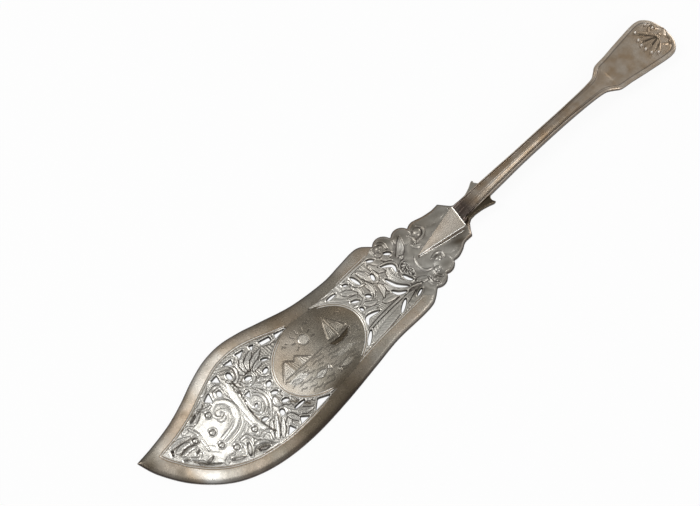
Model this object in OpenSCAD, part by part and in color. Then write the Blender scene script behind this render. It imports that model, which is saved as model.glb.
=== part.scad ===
// Fish server: a pierced, scimitar-shaped serving blade and a fiddle, thread and shell handle, in one piece.
// It lies on its blade. +X runs along the handle, +Y is to the hollow edge, +Z is up.
// The origin is under the neck, where the blade meets the handle, level with the blade's underside.

/* [Blade] */
// Length of the blade, from the neck to its point
blade_len = 182; // [165:1:200]
// Width that the blade is set out on, from its crest to its belly
blade_w = 58; // [50:1:66]
// Thickness of the plate
plate_t = 1.5; // [1.2:0.1:2]
// Width of the plain rim round the pierced work
rim_w = 6.3; // [5.6:0.1:7]
// Depth of the blind recesses between the pierced holes
pit_depth = 0.8; // [0.3:0.1:1]

/* [Ornament] */
// Length of the oval medallion
medal_len = 48.5; // [42:0.5:52]
// Width of the oval medallion
medal_w = 36; // [32:0.5:38]
// Width of a raised thread line
thread_w = 0.5; // [0.4:0.05:0.7]
// Gap between the two threads of a pair
thread_gap = 0.35; // [0.2:0.05:0.5]
// Height of the leaves above the plate
leaf_h = 0.35; // [0.2:0.05:0.6]
// Height of the thread lines, ribs and scrolls above the plate
rib_h = 0.6; // [0.4:0.05:0.9]
// Radius of a bead
bead_r = 1.3; // [1:0.1:1.6]
// Outer radius of the ring round each bead of the tip
eyelet_r = 1.9; // [1.7:0.1:2.2]

/* [Heel] */
// Radius of the lobes on the heel's edge
lobe_r = 5; // [4.4:0.1:5.6]
// Length of the raised tongue on the heel
tongue_len = 26; // [20:1:30]
// Width of the tongue's top where it meets the neck
tongue_w = 10.4; // [8:0.2:12]
// Height of the tongue above the plate at the neck
tongue_rise = 3; // [2:0.1:4]
// How far the tongue's walls lean out at their foot
tongue_draft = 1.2; // [0.6:0.1:2]

/* [Stem] */
// Length of the handle, from the neck to its end
handle_len = 134; // [120:1:150]
// Width of the neck
neck_w = 9.4; // [8:0.2:11]
// Width of the stem at its narrowest
stem_w = 6.4; // [5.6:0.2:8]
// Thickness of the stem
stem_t = 4.8; // [4:0.1:6]
// Height of the underside of the stem at the top of its arch
arch_rise = 4.4; // [3:0.1:6]
// Width across the tips of the two ears
ear_span = 14.4; // [12:0.2:17]
// Thickness of an ear
ear_t = 2.2; // [1.6:0.1:3]

/* [Fiddle end] */
// Length of the broad end of the handle
fiddle_len = 44; // [38:1:50]
// Width of the broad end at its widest
fiddle_w = 24; // [20:0.5:28]
// Width across the shoulders, where the broad end begins
shoulder_w = 17.2; // [14:0.2:20]
// Thickness of the broad end
fiddle_t = 2.4; // [2:0.1:3.2]
// Height of the underside at the very end of the handle
end_rise = 2.2; // [1:0.1:4]
// Number of flutes in the shell
flutes = 9; // [7:2:11]
// Length of the shell's middle flute
flute_len = 9.5; // [8:0.1:10.5]

/* [Hidden] */
$fn = 40;

// How deep an applied shape is sunk into what carries it
seat = 0.4;
// Straight pieces that a curve is drawn with between two of its knots, on an edge and on fine work
curve_steps = 5;
fine_steps = 3;
// Points round an oval
oval_steps = 14;

// The ornament is set out on a blade of this length and width, and follows the real one
drawn_len = 182;
drawn_w = 58;
kx = blade_len / drawn_len;
ky = blade_w / drawn_w;
function at(p) = [p[0] * kx, p[1] * ky];

// The crest edge and the belly edge, each from the point to the heel
crest_knots = [
    [-182, 13], [-173, 14.2], [-162, 16.5], [-152, 20], [-142, 24.4], [-132, 27.7], [-122, 28.6],
    [-112, 27], [-102, 24.2], [-87, 20.3], [-70, 18.8], [-60, 19.6], [-51, 20.5], [-46.8, 19.9], [-44, 17.8], [-42.3, 16],
];
belly_knots = [
    [-182, 13], [-179, 3.5], [-172, -8.3], [-162, -18.6], [-151, -24.9], [-137, -28.6], [-120, -29.6],
    [-100, -28], [-80, -25.2], [-65, -23.1], [-50, -22.8], [-43, -22.2], [-39.5, -20.7], [-36, -18.2],
];
// The heel's shield, from the crest side round the neck to the belly side
shield_knots = [[-25, 11.6], [-21.5, 12.6], [-16, 11.2], [-11, 10.5], [-6.8, 10.7]];
shield_back_knots = [[-6.6, -10.9], [-11, -11], [-14.5, -12.8], [-18.5, -14], [-22.5, -13.4]];
neck_x = 3;
// Fillets from the shield into the neck: x, and the share of the shield's overhang that is left there
neck_fillet = [[-6.8, 1], [-5, 0.62], [-3, 0.22], [-1, 0.03]];
// Centres of the lobes
lobes = [[-38.6, 12.6], [-29.7, 10], [-32.4, -14], [-25.5, -11.6]];

// Point of a smooth curve through knots, t of the way from knot i to the next
function knot(k, i) = k[max(0, min(len(k) - 1, i))];
function on_curve(k, i, t) =
    let (a = knot(k, i - 1), b = knot(k, i), c = knot(k, i + 1), d = knot(k, i + 2))
    (2 * b + (c - a) * t + (2 * a - 5 * b + 4 * c - d) * t * t + (3 * b - a - 3 * c + d) * t * t * t) / 2;
function curve(k, steps = curve_steps) = [
    for (i = [0:len(k) - 2], s = [0:steps - 1]) on_curve(k, i, s / steps),
    k[len(k) - 1],
];
function set_out(k) = [for (p = k) at(p)];
function reversed(list) = [for (i = [len(list) - 1:-1:0]) list[i]];

// The curve moved sideways by d, to its left where d is above zero
function heading(c, i) = let (v = c[min(len(c) - 1, i + 1)] - c[max(0, i - 1)]) v / norm(v);
function beside(c, d) = [for (i = [0:len(c) - 1]) let (u = heading(c, i)) c[i] + d * [-u[1], u[0]]];
// A band along a curve, with its width given at the start, the middle and the end
function band_w(w, f) = w[0] * (1 - f) * (1 - 2 * f) + 4 * w[1] * f * (1 - f) + w[2] * f * (2 * f - 1);
function band(c, w) =
    let (n = len(c) - 1, u = [for (i = [0:n]) heading(c, i)])
    concat(
        [for (i = [0:n]) c[i] + band_w(w, i / n) / 2 * [-u[i][1], u[i][0]]],
        [for (i = [n:-1:0]) c[i] - band_w(w, i / n) / 2 * [-u[i][1], u[i][0]]]
    );
function oval(len, w, n = oval_steps) = [for (i = [0:n - 1]) [len / 2 * cos(360 * i / n), w / 2 * sin(360 * i / n)]];

crest = curve(set_out(crest_knots));
belly = curve(set_out(belly_knots));
far = 60;

// Inner thread lines: those of the tip field meet in a corner by the point, and those of the heel field run to the heel
tip_crest_knots = [
    [-96, 14.9], [-101.7, 16.7], [-107, 18.9], [-112, 20.6], [-117, 21.9], [-122.1, 22.4], [-127, 22.2], [-132.2, 21.1],
    [-142.2, 17.2], [-152.2, 12.9], [-162.3, 9.9], [-172.6, 8.2],
];
tip_belly_knots = [
    [-172.6, 8.2], [-171.3, 4.8], [-169.2, 1], [-167, -2.8], [-161.7, -9.4], [-156.5, -14], [-151.3, -17.2],
    [-141, -21], [-130.8, -22.6], [-120.7, -22.8], [-110, -22.1], [-104, -21.6],
];
heel_crest_knots = [[-68, 13.5], [-62, 13.6], [-56, 14], [-47, 14.4]];
heel_belly_knots = [[-84.4, -18.7], [-76, -17.8], [-66, -17.1], [-50, -16.5], [-43, -16.1]];
// Rim that these lines are drawn for; they move in and out with the real one
drawn_rim = 6.3;

// A thread line, moved out of its field by a distance; way is -1 where the field lies to the left of the line
function thread_line(k, way, out = 0) = beside(curve(set_out(k), fine_steps), way * (drawn_rim - rim_w + out));
function tip_crest(out = 0) = thread_line(tip_crest_knots, -1, out);
function tip_belly(out = 0) = thread_line(tip_belly_knots, -1, out);
function heel_crest(out = 0) = thread_line(heel_crest_knots, 1, out);
function heel_belly(out = 0) = thread_line(heel_belly_knots, -1, out);

// The two fields inside the threads; the heel's is open to the neck
module fields() {
    polygon(concat(tip_crest(), tip_belly()));
    polygon(concat(heel_crest(), [[0, far], [0, -far]], reversed(heel_belly())));
}

// The whole outline of the blade, heel and neck
module blade_outline() {
    corner = shield_knots[4][1] * ky;
    side = [for (f = neck_fillet) [f[0] * kx, neck_half + (corner - neck_half) * f[1]]];
    union() {
        polygon(concat(
            crest,
            curve(set_out(shield_knots), fine_steps),
            side,
            [[neck_x, neck_half], [neck_x, -neck_half]],
            reversed([for (p = side) [p[0], -p[1]]]),
            curve(set_out(shield_back_knots), fine_steps),
            reversed([for (i = [1:len(belly) - 1]) belly[i]])
        ));
        for (p = lobes) translate(at(p)) circle(lobe_r);
    }
}

medal_at = [-92.9, -3.3];
medal_tilt = 6;
medal_steps = 48;
module medallion(grow = 0)
    translate(at(medal_at)) rotate(medal_tilt) polygon(oval(medal_len + 2 * grow, medal_w + 2 * grow, medal_steps));

// Saw-pierced holes. Ovals are [x, y, length, width, angle]
ovals = [
    [-72.3, 11, 5, 1.3, 0], [-63.9, 10.9, 2.2, 1.2, -30], [-59.2, 9.3, 5.6, 1.7, -80], [-52.5, 5.3, 3.4, 1.8, 65],
    [-47.8, 11.8, 3.6, 1.5, -35], [-39.9, 9, 3.6, 1.6, -40], [-66, 2.3, 4, 1.4, -30], [-60.2, 0.3, 2.7, 1.6, -45],
    [-66.4, -2.3, 2, 1.4, 90], [-52.4, -13.8, 7, 1.4, 32], [-73.5, -14.3, 7.5, 1.4, 38], [-42.8, -14.1, 4, 0.9, 20],
    [-128.6, 14.9, 3.4, 2, 80], [-137, 12, 3, 2.2, 70], [-123.4, 8.6, 3.2, 2, -15], [-112.6, 10.1, 3.2, 1.2, -30],
    [-115.8, 6.1, 3, 1.8, 20], [-118.9, 0.7, 2.8, 2, 30], [-119.8, -3.8, 3, 1.8, -30], [-129.4, -2.8, 2, 1.2, 30],
    [-130.7, -9.7, 3, 1.6, -20], [-118.9, -9.6, 3.2, 1.8, -20], [-123.5, -12.6, 3, 2, 60], [-115.9, -15.2, 5.5, 1.2, 0],
];
// Gussets against the rim are triangles
gussets = [
    [[-102.6, 13.7], [-101.7, 15.9], [-96.6, 14.5]], [[-109, 17.5], [-104.3, 16.4], [-104.7, 14.7], [-109, 15.7]],
    [[-113.4, 19.2], [-111.6, 18.4], [-113.8, 16.8]], [[-120.2, 20.5], [-116.3, 19.7], [-119.9, 17.8]],
    [[-127.3, 20.4], [-123, 20], [-124.3, 17.7]], [[-136, 18.4], [-132.4, 18.9], [-133.3, 15.4]],
    [[-144.1, 13.7], [-140.1, 15.4], [-141.5, 10.8]], [[-130, 4], [-127, 4.2], [-128.8, 1.7]],
    [[-112.4, -21.7], [-109.2, -19.2], [-104, -21.2]], [[-121.2, -21.9], [-119.2, -19.5], [-116.5, -21.7]],
    [[-128.4, -21.7], [-125.9, -19.6], [-124.1, -21.9]],
];
// Bent slits follow a curve through three points
slits = [
    [[-46.6, 6.3], [-42.4, 3.4], [-43.3, 0]], [[-69.6, -9.5], [-67.2, -6.8], [-61.6, -8.1]],
    [[-49.4, 0.8], [-47.9, -4.6], [-44, -8.8]], [[-51.2, -5.3], [-49.8, -8], [-46.5, -9.8]],
    [[-42.2, -3.2], [-41.8, -5.6], [-40.5, -7.8]],
];
slit_w = [0.5, 1.7, 0.4];
// Blind recesses are set out like the holes
pits = [
    [-152.6, 11.2, 4, 1, 20], [-168.6, 5.8, 2.6, 0.9, 60], [-166.3, -0.5, 2.4, 0.9, -35], [-160.5, -1, 2.2, 0.9, 20],
    [-159.2, -7.2, 4, 1.3, 8], [-150.2, -14.9, 6.4, 1.5, -30], [-139.6, -19, 4.8, 1.6, -20],
];
pit_slits = [[[-142.8, -12.4], [-144.4, -15], [-146.2, -17.6]]];

module piercing() {
    for (o = ovals) translate(at(o)) rotate(o[4]) polygon(oval(o[2], o[3]));
    for (g = gussets) polygon(set_out(g));
    for (s = slits) polygon(band(curve(set_out(s), fine_steps), slit_w));
}

module recesses() {
    for (o = pits) translate(at(o)) rotate(o[4]) polygon(oval(o[2], o[3]));
    for (s = pit_slits) polygon(band(curve(set_out(s), fine_steps), slit_w));
}

module blade_plate() {
    color("silver") linear_extrude(plate_t) blade_outline();
}

// Stands its children on the plate, or on what is raised above it
module raised(h, from = 0) {
    color("whitesmoke") translate([0, 0, plate_t + from - seat]) linear_extrude(h + seat) children();
}

// Each leaf follows a curve through three points from its stalk to its tip, and has a width
leaves = [
    [[[-126.5, 11.6], [-117, 15.8], [-108.4, 14.2]], 4.4], [[[-126, 17.4], [-121, 18.2], [-114.6, 17.4]], 2.8],
    [[[-123.6, 12.2], [-119, 11.6], [-114, 12.6]], 3], [[[-120.6, 9.8], [-117.4, 10.2], [-113.4, 8.4]], 2.6],
    [[[-133, -20.4], [-129.4, -15.6], [-125.6, -11]], 2.4], [[[-130.8, -21], [-127, -17], [-124.6, -13.6]], 2],
    [[[-135.2, -19], [-131.4, -14.6], [-128.4, -11]], 2], [[[-122.4, -10.4], [-119, -15.8], [-112.4, -20]], 4.2],
    [[[-114.4, -10.6], [-113, -14], [-109.4, -17.6]], 3.2], [[[-117.6, -5.6], [-117.2, -8], [-114.6, -10.6]], 2.4],
    [[[-124.6, 5.2], [-122.6, 2.6], [-121.4, -0.6]], 2.4], [[[-167.6, 4.4], [-163.6, 5], [-160, 3.8]], 2],
    [[[-166.6, 1.8], [-163, 2.4], [-159.4, 1.2]], 2], [[[-160.4, 8.6], [-157.4, 9], [-154.4, 8.2]], 1.8],
    [[[-163.4, -4.2], [-160.4, -9.2], [-156.2, -12]], 2.4], [[[-144.8, 15.4], [-141.4, 16], [-137.4, 18.2]], 1.8],
    [[[-75.4, -16], [-60, -13.4], [-43, -11.8]], 5.2], [[[-57.8, -6.6], [-54, -7], [-49.4, -9.2]], 3.2],
    [[[-45.2, 4.4], [-46.6, -1], [-41.6, -8.8]], 2.2], [[[-50.4, 10.6], [-49.4, 7], [-46.6, 3.6]], 3],
    [[[-56.4, 12], [-55, 8], [-54.8, 3]], 3.2], [[[-57.4, 6.4], [-56.8, 2], [-58.6, -2.6]], 2.8],
    [[[-62.6, 8.8], [-61.6, 5], [-62.4, 1.4]], 2.8], [[[-68.4, 9], [-65.4, 7], [-62.8, 4.4]], 2.8],
    [[[-64.4, -1], [-62.4, -3], [-59, -4.4]], 2.2], [[[-67.6, -4.4], [-64, -5.2], [-60, -6.2]], 2.4],
    [[[-43.6, 9.6], [-42.2, 7.4], [-40.4, 5]], 2.6], [[[-53.4, 1.4], [-53.6, -2], [-55.8, -5.4]], 2.4],
    [[[-38.2, 4.6], [-33.4, 7.4], [-30.6, 11]], 3], [[[-40.4, -9.6], [-37.4, -10.8], [-34.6, -12.8]], 2.6],
];
// Widths of a leaf at its stalk and at its tip, and of its rib
leaf_ends = [0.8, 0.3];
leaf_rib_w = [0.3, 0.6, 0.2];
// Points of a leaf's edge that its rib leaves free at each end
leaf_bare = 1;
// Scrolls and stalks follow a curve through their points, and taper by their widths
scroll_w = [0.6, 1.2, 0.6];
scrolls = [
    [[[-130.6, 20.4], [-132.4, 16.6], [-133.8, 10], [-133.2, 2.6], [-134, -6], [-132.6, -13], [-133.6, -18]], [3, 3.2, 1.6]],
    [[[-149.4, -3.2], [-141.4, -2.6], [-136.8, 1.4], [-137.6, 7.2], [-141, 9.4], [-144.2, 6]], [0.8, 1.5, 1]],
    [[[-147, 0.2], [-141.4, 0.8], [-139.2, 4.4], [-140.6, 6.8], [-142.6, 5.8]], [0.7, 1.4, 0.9]],
    [[[-149.4, -5.4], [-142, -5.4], [-137.2, -2.6], [-135.8, 0.6]], [0.7, 1.4, 0.7]],
    [[[-148.6, -7.6], [-142, -7.7], [-136.8, -4.8]], scroll_w],
    [[[-124.2, 2.4], [-123.2, -1.6], [-124, -5.6], [-129.6, -8]], scroll_w],
    [[[-131.4, 1.4], [-132.2, -2.4], [-128.6, -6], [-126.6, -3.8]], scroll_w],
    [[[-125.6, 19], [-124.9, 15.4], [-126.4, 12], [-131, 13.2]], scroll_w],
    [[[-127.4, 10], [-126.4, 6.6], [-120.8, 6.8], [-120.4, 9.6]], scroll_w],
    [[[-118.6, 8.4], [-118.4, 4.6], [-113.6, 4.6]], scroll_w],
    [[[-139.6, -12.4], [-138, -14.6], [-132.8, -15.6], [-134, -18.8]], [0.7, 1.3, 0.6]],
    [[[-72.6, -12], [-57, -10.4], [-44, -9.9], [-39.4, -11.6]], [0.8, 1.2, 0.8]],
    [[[-61.8, 11.6], [-60.8, 7], [-57.6, 5.4]], scroll_w],
    [[[-54.8, 4], [-52.6, 2.4], [-50.6, 4.2], [-50.8, 7.4]], scroll_w],
    [[[-33.2, -0.8], [-34.4, -4.4], [-34, -8.2], [-31, -9.9]], [0.7, 1.2, 0.7]],
    [[[-28.4, 4.2], [-22, 4.6], [-20, 7], [-21.2, 9.6]], scroll_w],
    [[[-23, -9.6], [-22.4, -7.2], [-27.8, -6.4]], scroll_w],
    [[[-43.6, 15.2], [-40.6, 15.6], [-38.4, 13.6], [-38.6, 11]], scroll_w],
];
// Beads stand alone in the heel and in rings, as eyelets, in the tip
beads = [[-41.3, 13.3], [-36.9, 3.3], [-25.5, -8.4], [-29.4, -11.8], [-33.3, -14.8], [-23.1, 7.3]];
eyelets = [[-146.8, 8], [-150.7, 1.1], [-151.7, -5.7], [-147.7, -10.7], [-137, -10.1], [-158.2, 3.4]];
// Clear ring between a bead and its eyelet, and how much smaller such a bead is than one that stands alone
eyelet_gap = 0.2;
eyelet_bead = 0.8;

function midrib(l) = curve(set_out(l[0]), fine_steps);
module leaf(l) polygon(band(midrib(l), [leaf_ends[0], l[1], leaf_ends[1]]));
module rib(l) {
    line = midrib(l);
    polygon(band([for (i = [leaf_bare:len(line) - 1 - leaf_bare]) line[i]], leaf_rib_w));
}

module foliage() {
    raised(leaf_h) difference() {
        intersection() {
            union() for (l = leaves) leaf(l);
            fields();
        }
        medallion(-thread_w / 2);
    }
    raised(rib_h) difference() {
        union() {
            for (l = leaves) rib(l);
            for (s = scrolls) polygon(band(curve(set_out(s[0]), fine_steps), s[1]));
        }
        medallion(-thread_w / 2);
    }
}

// A thread of even width along a line
module thread(line) polygon(band(line, [thread_w, thread_w, thread_w]));

module rim_threads() {
    for (out = [0, thread_w + thread_gap]) raised(rib_h) difference() {
        union() {
            thread(concat(tip_crest(out), [for (i = [1:len(tip_belly()) - 1]) tip_belly(out)[i]]));
            thread(heel_crest(out));
            thread(heel_belly(out));
        }
        medallion();
    }
}

// The border stands on two arcs, in degrees round the medallion. Between them the medallion runs into the rim
border_arcs = [[110, 246], [-66, 53]];
border_steps = 20;
module medallion_border() {
    for (arc = border_arcs, in = [0.5, 2.2] * thread_w)
        raised(rib_h) translate(at(medal_at)) rotate(medal_tilt) thread([
            for (i = [0:border_steps]) let (a = arc[0] + (arc[1] - arc[0]) * i / border_steps)
                [(medal_len / 2 - in) * cos(a), (medal_w / 2 - in) * sin(a)],
        ]);
}

module beadwork() {
    color("whitesmoke") {
        for (b = beads) translate(concat(at(b), plate_t)) sphere(bead_r, $fn = 16);
        for (b = eyelets) translate(concat(at(b), plate_t)) {
            sphere(bead_r * eyelet_bead, $fn = 16);
            translate([0, 0, -seat]) difference() {
                cylinder(seat + rib_h, r = eyelet_r);
                translate([0, 0, seat]) cylinder(2 * rib_h, r = bead_r * eyelet_bead + eyelet_gap);
            }
        }
    }
}

// A shell rosette beside the tongue's point
rosette_at = [-37.7, -2.7];
rosette_r = 4;
rosette_petals = 7;
rosette_from = 95;
rosette_spread = 170;
petal_w = [0.3, 0.9, 1.1];
module rosette() {
    raised(rib_h) translate(at(rosette_at)) for (i = [0:rosette_petals - 1])
        rotate(rosette_from + i * rosette_spread / (rosette_petals - 1))
            polygon(band([[thread_w, 0], [rosette_r / 2, 0], [rosette_r, 0]], petal_w));
}

// A solid through rings of points, each ring listed the same way round
module loft(rings) {
    n = len(rings[0]);
    m = len(rings);
    points = [for (r = rings, p = r) p];
    sides = [
        for (j = [0:m - 2], i = [0:n - 1])
            [j * n + i, j * n + (i + 1) % n, (j + 1) * n + (i + 1) % n, (j + 1) * n + i],
    ];
    halves = [for (q = sides, h = [[q[0], q[1], q[2]], [q[0], q[2], q[3]]]) h];
    polyhedron(points, concat([[for (i = [n - 1:-1:0]) i]], halves, [[for (i = [0:n - 1]) (m - 1) * n + i]]));
}

tongue_x = -5;
tongue_y = -0.4;
// Half width and height that the tongue keeps at its point
tongue_point = 0.1;
module tongue() {
    foot = plate_t - seat;
    top = plate_t + tongue_rise;
    half = tongue_w / 2;
    wide = half + tongue_draft;
    tip = tongue_x - tongue_len;
    color("silver") translate([0, tongue_y]) loft([
        [
            [tip, 2 * tongue_point, foot], [tip, -2 * tongue_point, foot],
            [tip, -tongue_point, plate_t + tongue_point], [tip, tongue_point, plate_t + tongue_point],
        ],
        [[tongue_x, wide, foot], [tongue_x, -wide, foot], [tongue_x, -half, top], [tongue_x, half, top]],
    ]);
}

// Stations of the stem: [x, half width, underside, top]. It starts inside the tongue and ends inside the broad end
fiddle_x = handle_len - fiddle_len;
crest_x = 0.78 * fiddle_x;
arch_top = arch_rise + stem_t;
fiddle_z = arch_rise + 0.4;
stem_half = stem_w / 2;
neck_half = neck_w / 2;
stem_stations = [
    [tongue_x - 4, tongue_w * 0.28, 0.6, plate_t + 0.4 * tongue_rise],
    [tongue_x, neck_half - 0.2, 0.3, plate_t + tongue_rise - seat],
    [0, neck_half, 0.3, plate_t + stem_t - 1],
    [6, neck_half - 0.1, 1, stem_t + 1.3],
    [13, neck_half - 0.5, 1.9, stem_t + 2],
    [22, stem_half + 0.5, arch_rise - 1.8, arch_top - 1.7],
    [0.38 * fiddle_x, stem_half, arch_rise - 1, arch_top - 1],
    [0.58 * fiddle_x, stem_half, arch_rise - 0.3, arch_top - 0.3],
    [crest_x, stem_half + 0.3, arch_rise, arch_top - 0.4],
    [fiddle_x - 7, stem_half + 0.7, arch_rise + 0.3, arch_top - 0.7],
    [fiddle_x, stem_half + 1.1, fiddle_z, fiddle_z + fiddle_t + 0.7],
    [fiddle_x + 9, stem_half - 0.6, fiddle_z + 0.1, fiddle_z + fiddle_t - 1.2],
];

// Cross-section of the stem: a crowned field and a groove, then a thread that rounds into the side
field_crown = 0.15;
field_drop = 0.1;
groove_w = 0.5;
groove_dip = 0.4;
edge_thread_w = 1.2;
edge_thread_drop = 0.2;
// Shares of the thickness at which the side turns in above and below, and of the half width at which the underside starts
side_above = 0.2;
side_below = 0.05;
under_rise = 0.16;
under_w = 0.8;
function section(s) =
    let (x = s[0], w = s[1], low = s[2], top = s[3], mid = (low + top) / 2, h = top - low)
    let (half = [
        [0, top + field_crown], [w - edge_thread_w - groove_w, top - field_drop],
        [w - edge_thread_w, top - field_drop - groove_dip], [w - edge_thread_w / 2, top - edge_thread_drop],
        [w - field_drop, mid + side_above * h], [w, mid - side_below * h], [w * under_w, low + under_rise * h], [0, low],
    ])
    concat(
        [for (p = half) [x, p[0], p[1]]],
        [for (i = [len(half) - 2:-1:1]) [x, -half[i][0], half[i][1]]]
    );

module stem() {
    color("tan") loft([for (s = curve(stem_stations)) section(s)]);
}

// Barbs on both sides of the neck, pointing to the handle's end. They grow out of the neck, in it by their root
ear_from = 2.5;
ear_to = 11.2;
ear_root = 1;
ear_z = stem_t / 2 + 0.8;
ear_notch = 0.2;
module ears() {
    half = ear_span / 2;
    swell = half - neck_half;
    color("tan") translate([0, 0, ear_z]) linear_extrude(ear_t) for (side = [-1, 1])
        scale([1, side]) polygon([
            [ear_from, neck_half - ear_root], [ear_from, neck_half], [ear_from + 2.5, neck_half + 0.14 * swell],
            [ear_from + 5.5, neck_half + 0.52 * swell], [ear_to - 0.6, half], [ear_to, half - 0.3],
            [ear_to - 0.7, neck_half + ear_notch], [ear_to + 1, neck_half - ear_root],
        ]);
}

// Half outline of the broad end, along x from its shoulder; widths go from the stem's to the shoulders' to the widest
fiddle_back = 6;
function fiddle_half() =
    let (n = stem_half + 0.6, s = shoulder_w / 2, w = fiddle_w / 2, l = fiddle_len)
    curve([
        [-fiddle_back, n], [-2, n + 0.3], [0, n + 1.2], [2.6, s - 1], [5, s], [10, s + 0.18 * (w - s)],
        [0.48 * l, s + 0.55 * (w - s)], [0.68 * l, s + 0.87 * (w - s)], [0.8 * l, w], [0.89 * l, w - 0.6],
        [0.95 * l, w - 3], [0.985 * l, w - 6.6], [l, 0],
    ], 4);

fiddle_slope = atan((fiddle_z - end_rise) / fiddle_len);
// The threads round the broad end: distances in from its edge, width and height
border_in = [0.5, 1.7];
border_w = 0.8;
border_h = 0.35;

module fiddle_plan(d = 0) {
    upper = beside(fiddle_half(), -d);
    intersection() {
        polygon(concat(upper, [for (i = [len(upper) - 2:-1:0]) [upper[i][0], -upper[i][1]]]));
        translate([-fiddle_back, -far]) square([fiddle_len + fiddle_back - d, 2 * far]);
    }
}

// The shell: flutes fan out from a hinge near the end of the handle, with a bead at the tip of each
shell_x = fiddle_len - 5;
hinge_r = 1.6;
shell_spread = 170;
// How much shorter the outermost flutes are, and the room that all flutes share at the middle one's length
flute_fall = 0.28;
flute_room = 2.1;
flute_h = 0.5;
flute_rib_h = 0.8;
flute_rib_w = [0.3, 0.6, 0.7];
flute_bead_r = 0.8;
module shell() {
    translate([shell_x, 0, fiddle_t - seat]) {
        for (i = [0:flutes - 1]) {
            place = 2 * i / (flutes - 1) - 1;
            reach = flute_len * (1 - flute_fall * place * place);
            width = reach * flute_room / flutes;
            rotate(180 + place * shell_spread / 2) {
                linear_extrude(seat + flute_h)
                    polygon(band(curve([[1, 0], [reach * 0.6, 0], [reach, 0]], fine_steps), [0.5, width, width * 0.8]));
                linear_extrude(seat + flute_rib_h) polygon(band([[1, 0], [reach / 2, 0], [reach, 0]], flute_rib_w));
                translate([reach, 0, seat + 0.2]) sphere(flute_bead_r, $fn = 24);
            }
        }
        translate([0, 0, seat]) sphere(hinge_r);
    }
}

module fiddle_end() {
    color("tan") translate([fiddle_x, 0, fiddle_z]) rotate([0, fiddle_slope, 0]) {
        linear_extrude(fiddle_t) fiddle_plan();
        for (d = border_in) translate([0, 0, fiddle_t - seat]) linear_extrude(seat + border_h) difference() {
            fiddle_plan(d);
            fiddle_plan(d + border_w);
        }
        shell();
    }
}

// The blade with its raised work, sawn through
module blade() {
    difference() {
        union() {
            blade_plate();
            rim_threads();
            foliage();
            medallion_border();
            rosette();
        }
        translate([0, 0, -seat]) linear_extrude(plate_t + rib_h + 2 * seat) piercing();
        translate([0, 0, plate_t - pit_depth]) linear_extrude(pit_depth + rib_h + seat) recesses();
    }
}

module fish_server() {
    union() {
        blade();
        beadwork();
        tongue();
        stem();
        ears();
        fiddle_end();
    }
}

fish_server();
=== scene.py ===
"""The looks of a pierced silver fish server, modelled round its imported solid.

Lengths in the tables are millimetres in the part's own frame: +X runs along the handle, +Y is to the hollow edge
of the blade and +Z is up. The blade's underside is at zero.
"""
import math

import bpy
import numpy as np
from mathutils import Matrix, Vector


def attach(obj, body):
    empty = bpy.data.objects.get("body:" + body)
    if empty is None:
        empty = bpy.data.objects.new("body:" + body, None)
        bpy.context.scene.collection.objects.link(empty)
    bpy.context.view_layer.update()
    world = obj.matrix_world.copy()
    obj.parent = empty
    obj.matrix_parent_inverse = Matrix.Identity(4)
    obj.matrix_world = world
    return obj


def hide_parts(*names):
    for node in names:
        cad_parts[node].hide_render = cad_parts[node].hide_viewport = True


bl_info = {
    "name": "Pierced Fish Server",
    "version": (1, 0, 0),
    "blender": (4, 5, 0),
    "location": "View3D > Sidebar > Fish Server",
    "description": "Models a pierced silver fish server with its stage",
    "category": "Add Mesh",
}

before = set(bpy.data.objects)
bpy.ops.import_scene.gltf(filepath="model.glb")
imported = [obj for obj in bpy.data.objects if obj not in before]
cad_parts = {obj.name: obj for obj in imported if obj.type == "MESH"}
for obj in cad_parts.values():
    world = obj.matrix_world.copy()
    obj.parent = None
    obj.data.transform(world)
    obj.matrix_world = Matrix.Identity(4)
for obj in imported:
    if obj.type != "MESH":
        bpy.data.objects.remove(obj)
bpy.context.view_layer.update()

MM = 0.001
TURN = 2 * math.pi
# Height of the openwork's and the medallion's underside, just over the rim's
BASE = 0.04

# Edges of the blade, each from the point to the heel
CREST = [
    (-182, 13), (-173, 14.2), (-162, 16.5), (-152, 20), (-142, 24.4), (-132, 27.7), (-122, 28.6), (-112, 27),
    (-102, 24.2), (-87, 20.3), (-70, 18.8), (-60, 19.6), (-51, 20.5), (-46.8, 19.9), (-44, 17.8), (-42.3, 16),
]
BELLY = [
    (-182, 13), (-179, 3.5), (-172, -8.3), (-162, -18.6), (-151, -24.9), (-137, -28.6), (-120, -29.6),
    (-100, -28), (-80, -25.2), (-65, -23.1), (-50, -22.8), (-43, -22.2), (-39.5, -20.7), (-36, -18.2),
]
SHIELD = [(-25, 11.6), (-21.5, 12.6), (-16, 11.2), (-11, 10.5), (-6.8, 10.7)]
SHIELD_BACK = [(-22.5, -13.4), (-18.5, -14), (-14.5, -12.8), (-11, -11), (-6.6, -10.9)]
NECK_SHARE = [(-5, 0.62), (-3, 0.22), (-1, 0.03), (1.5, 0)]
NECK_CORNER = 10.7
NECK_HALF = 4.7
LOBES = [(-38.6, 12.6), (-29.7, 10), (-32.4, -14), (-25.5, -11.6)]
LOBE_R = 5

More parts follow.
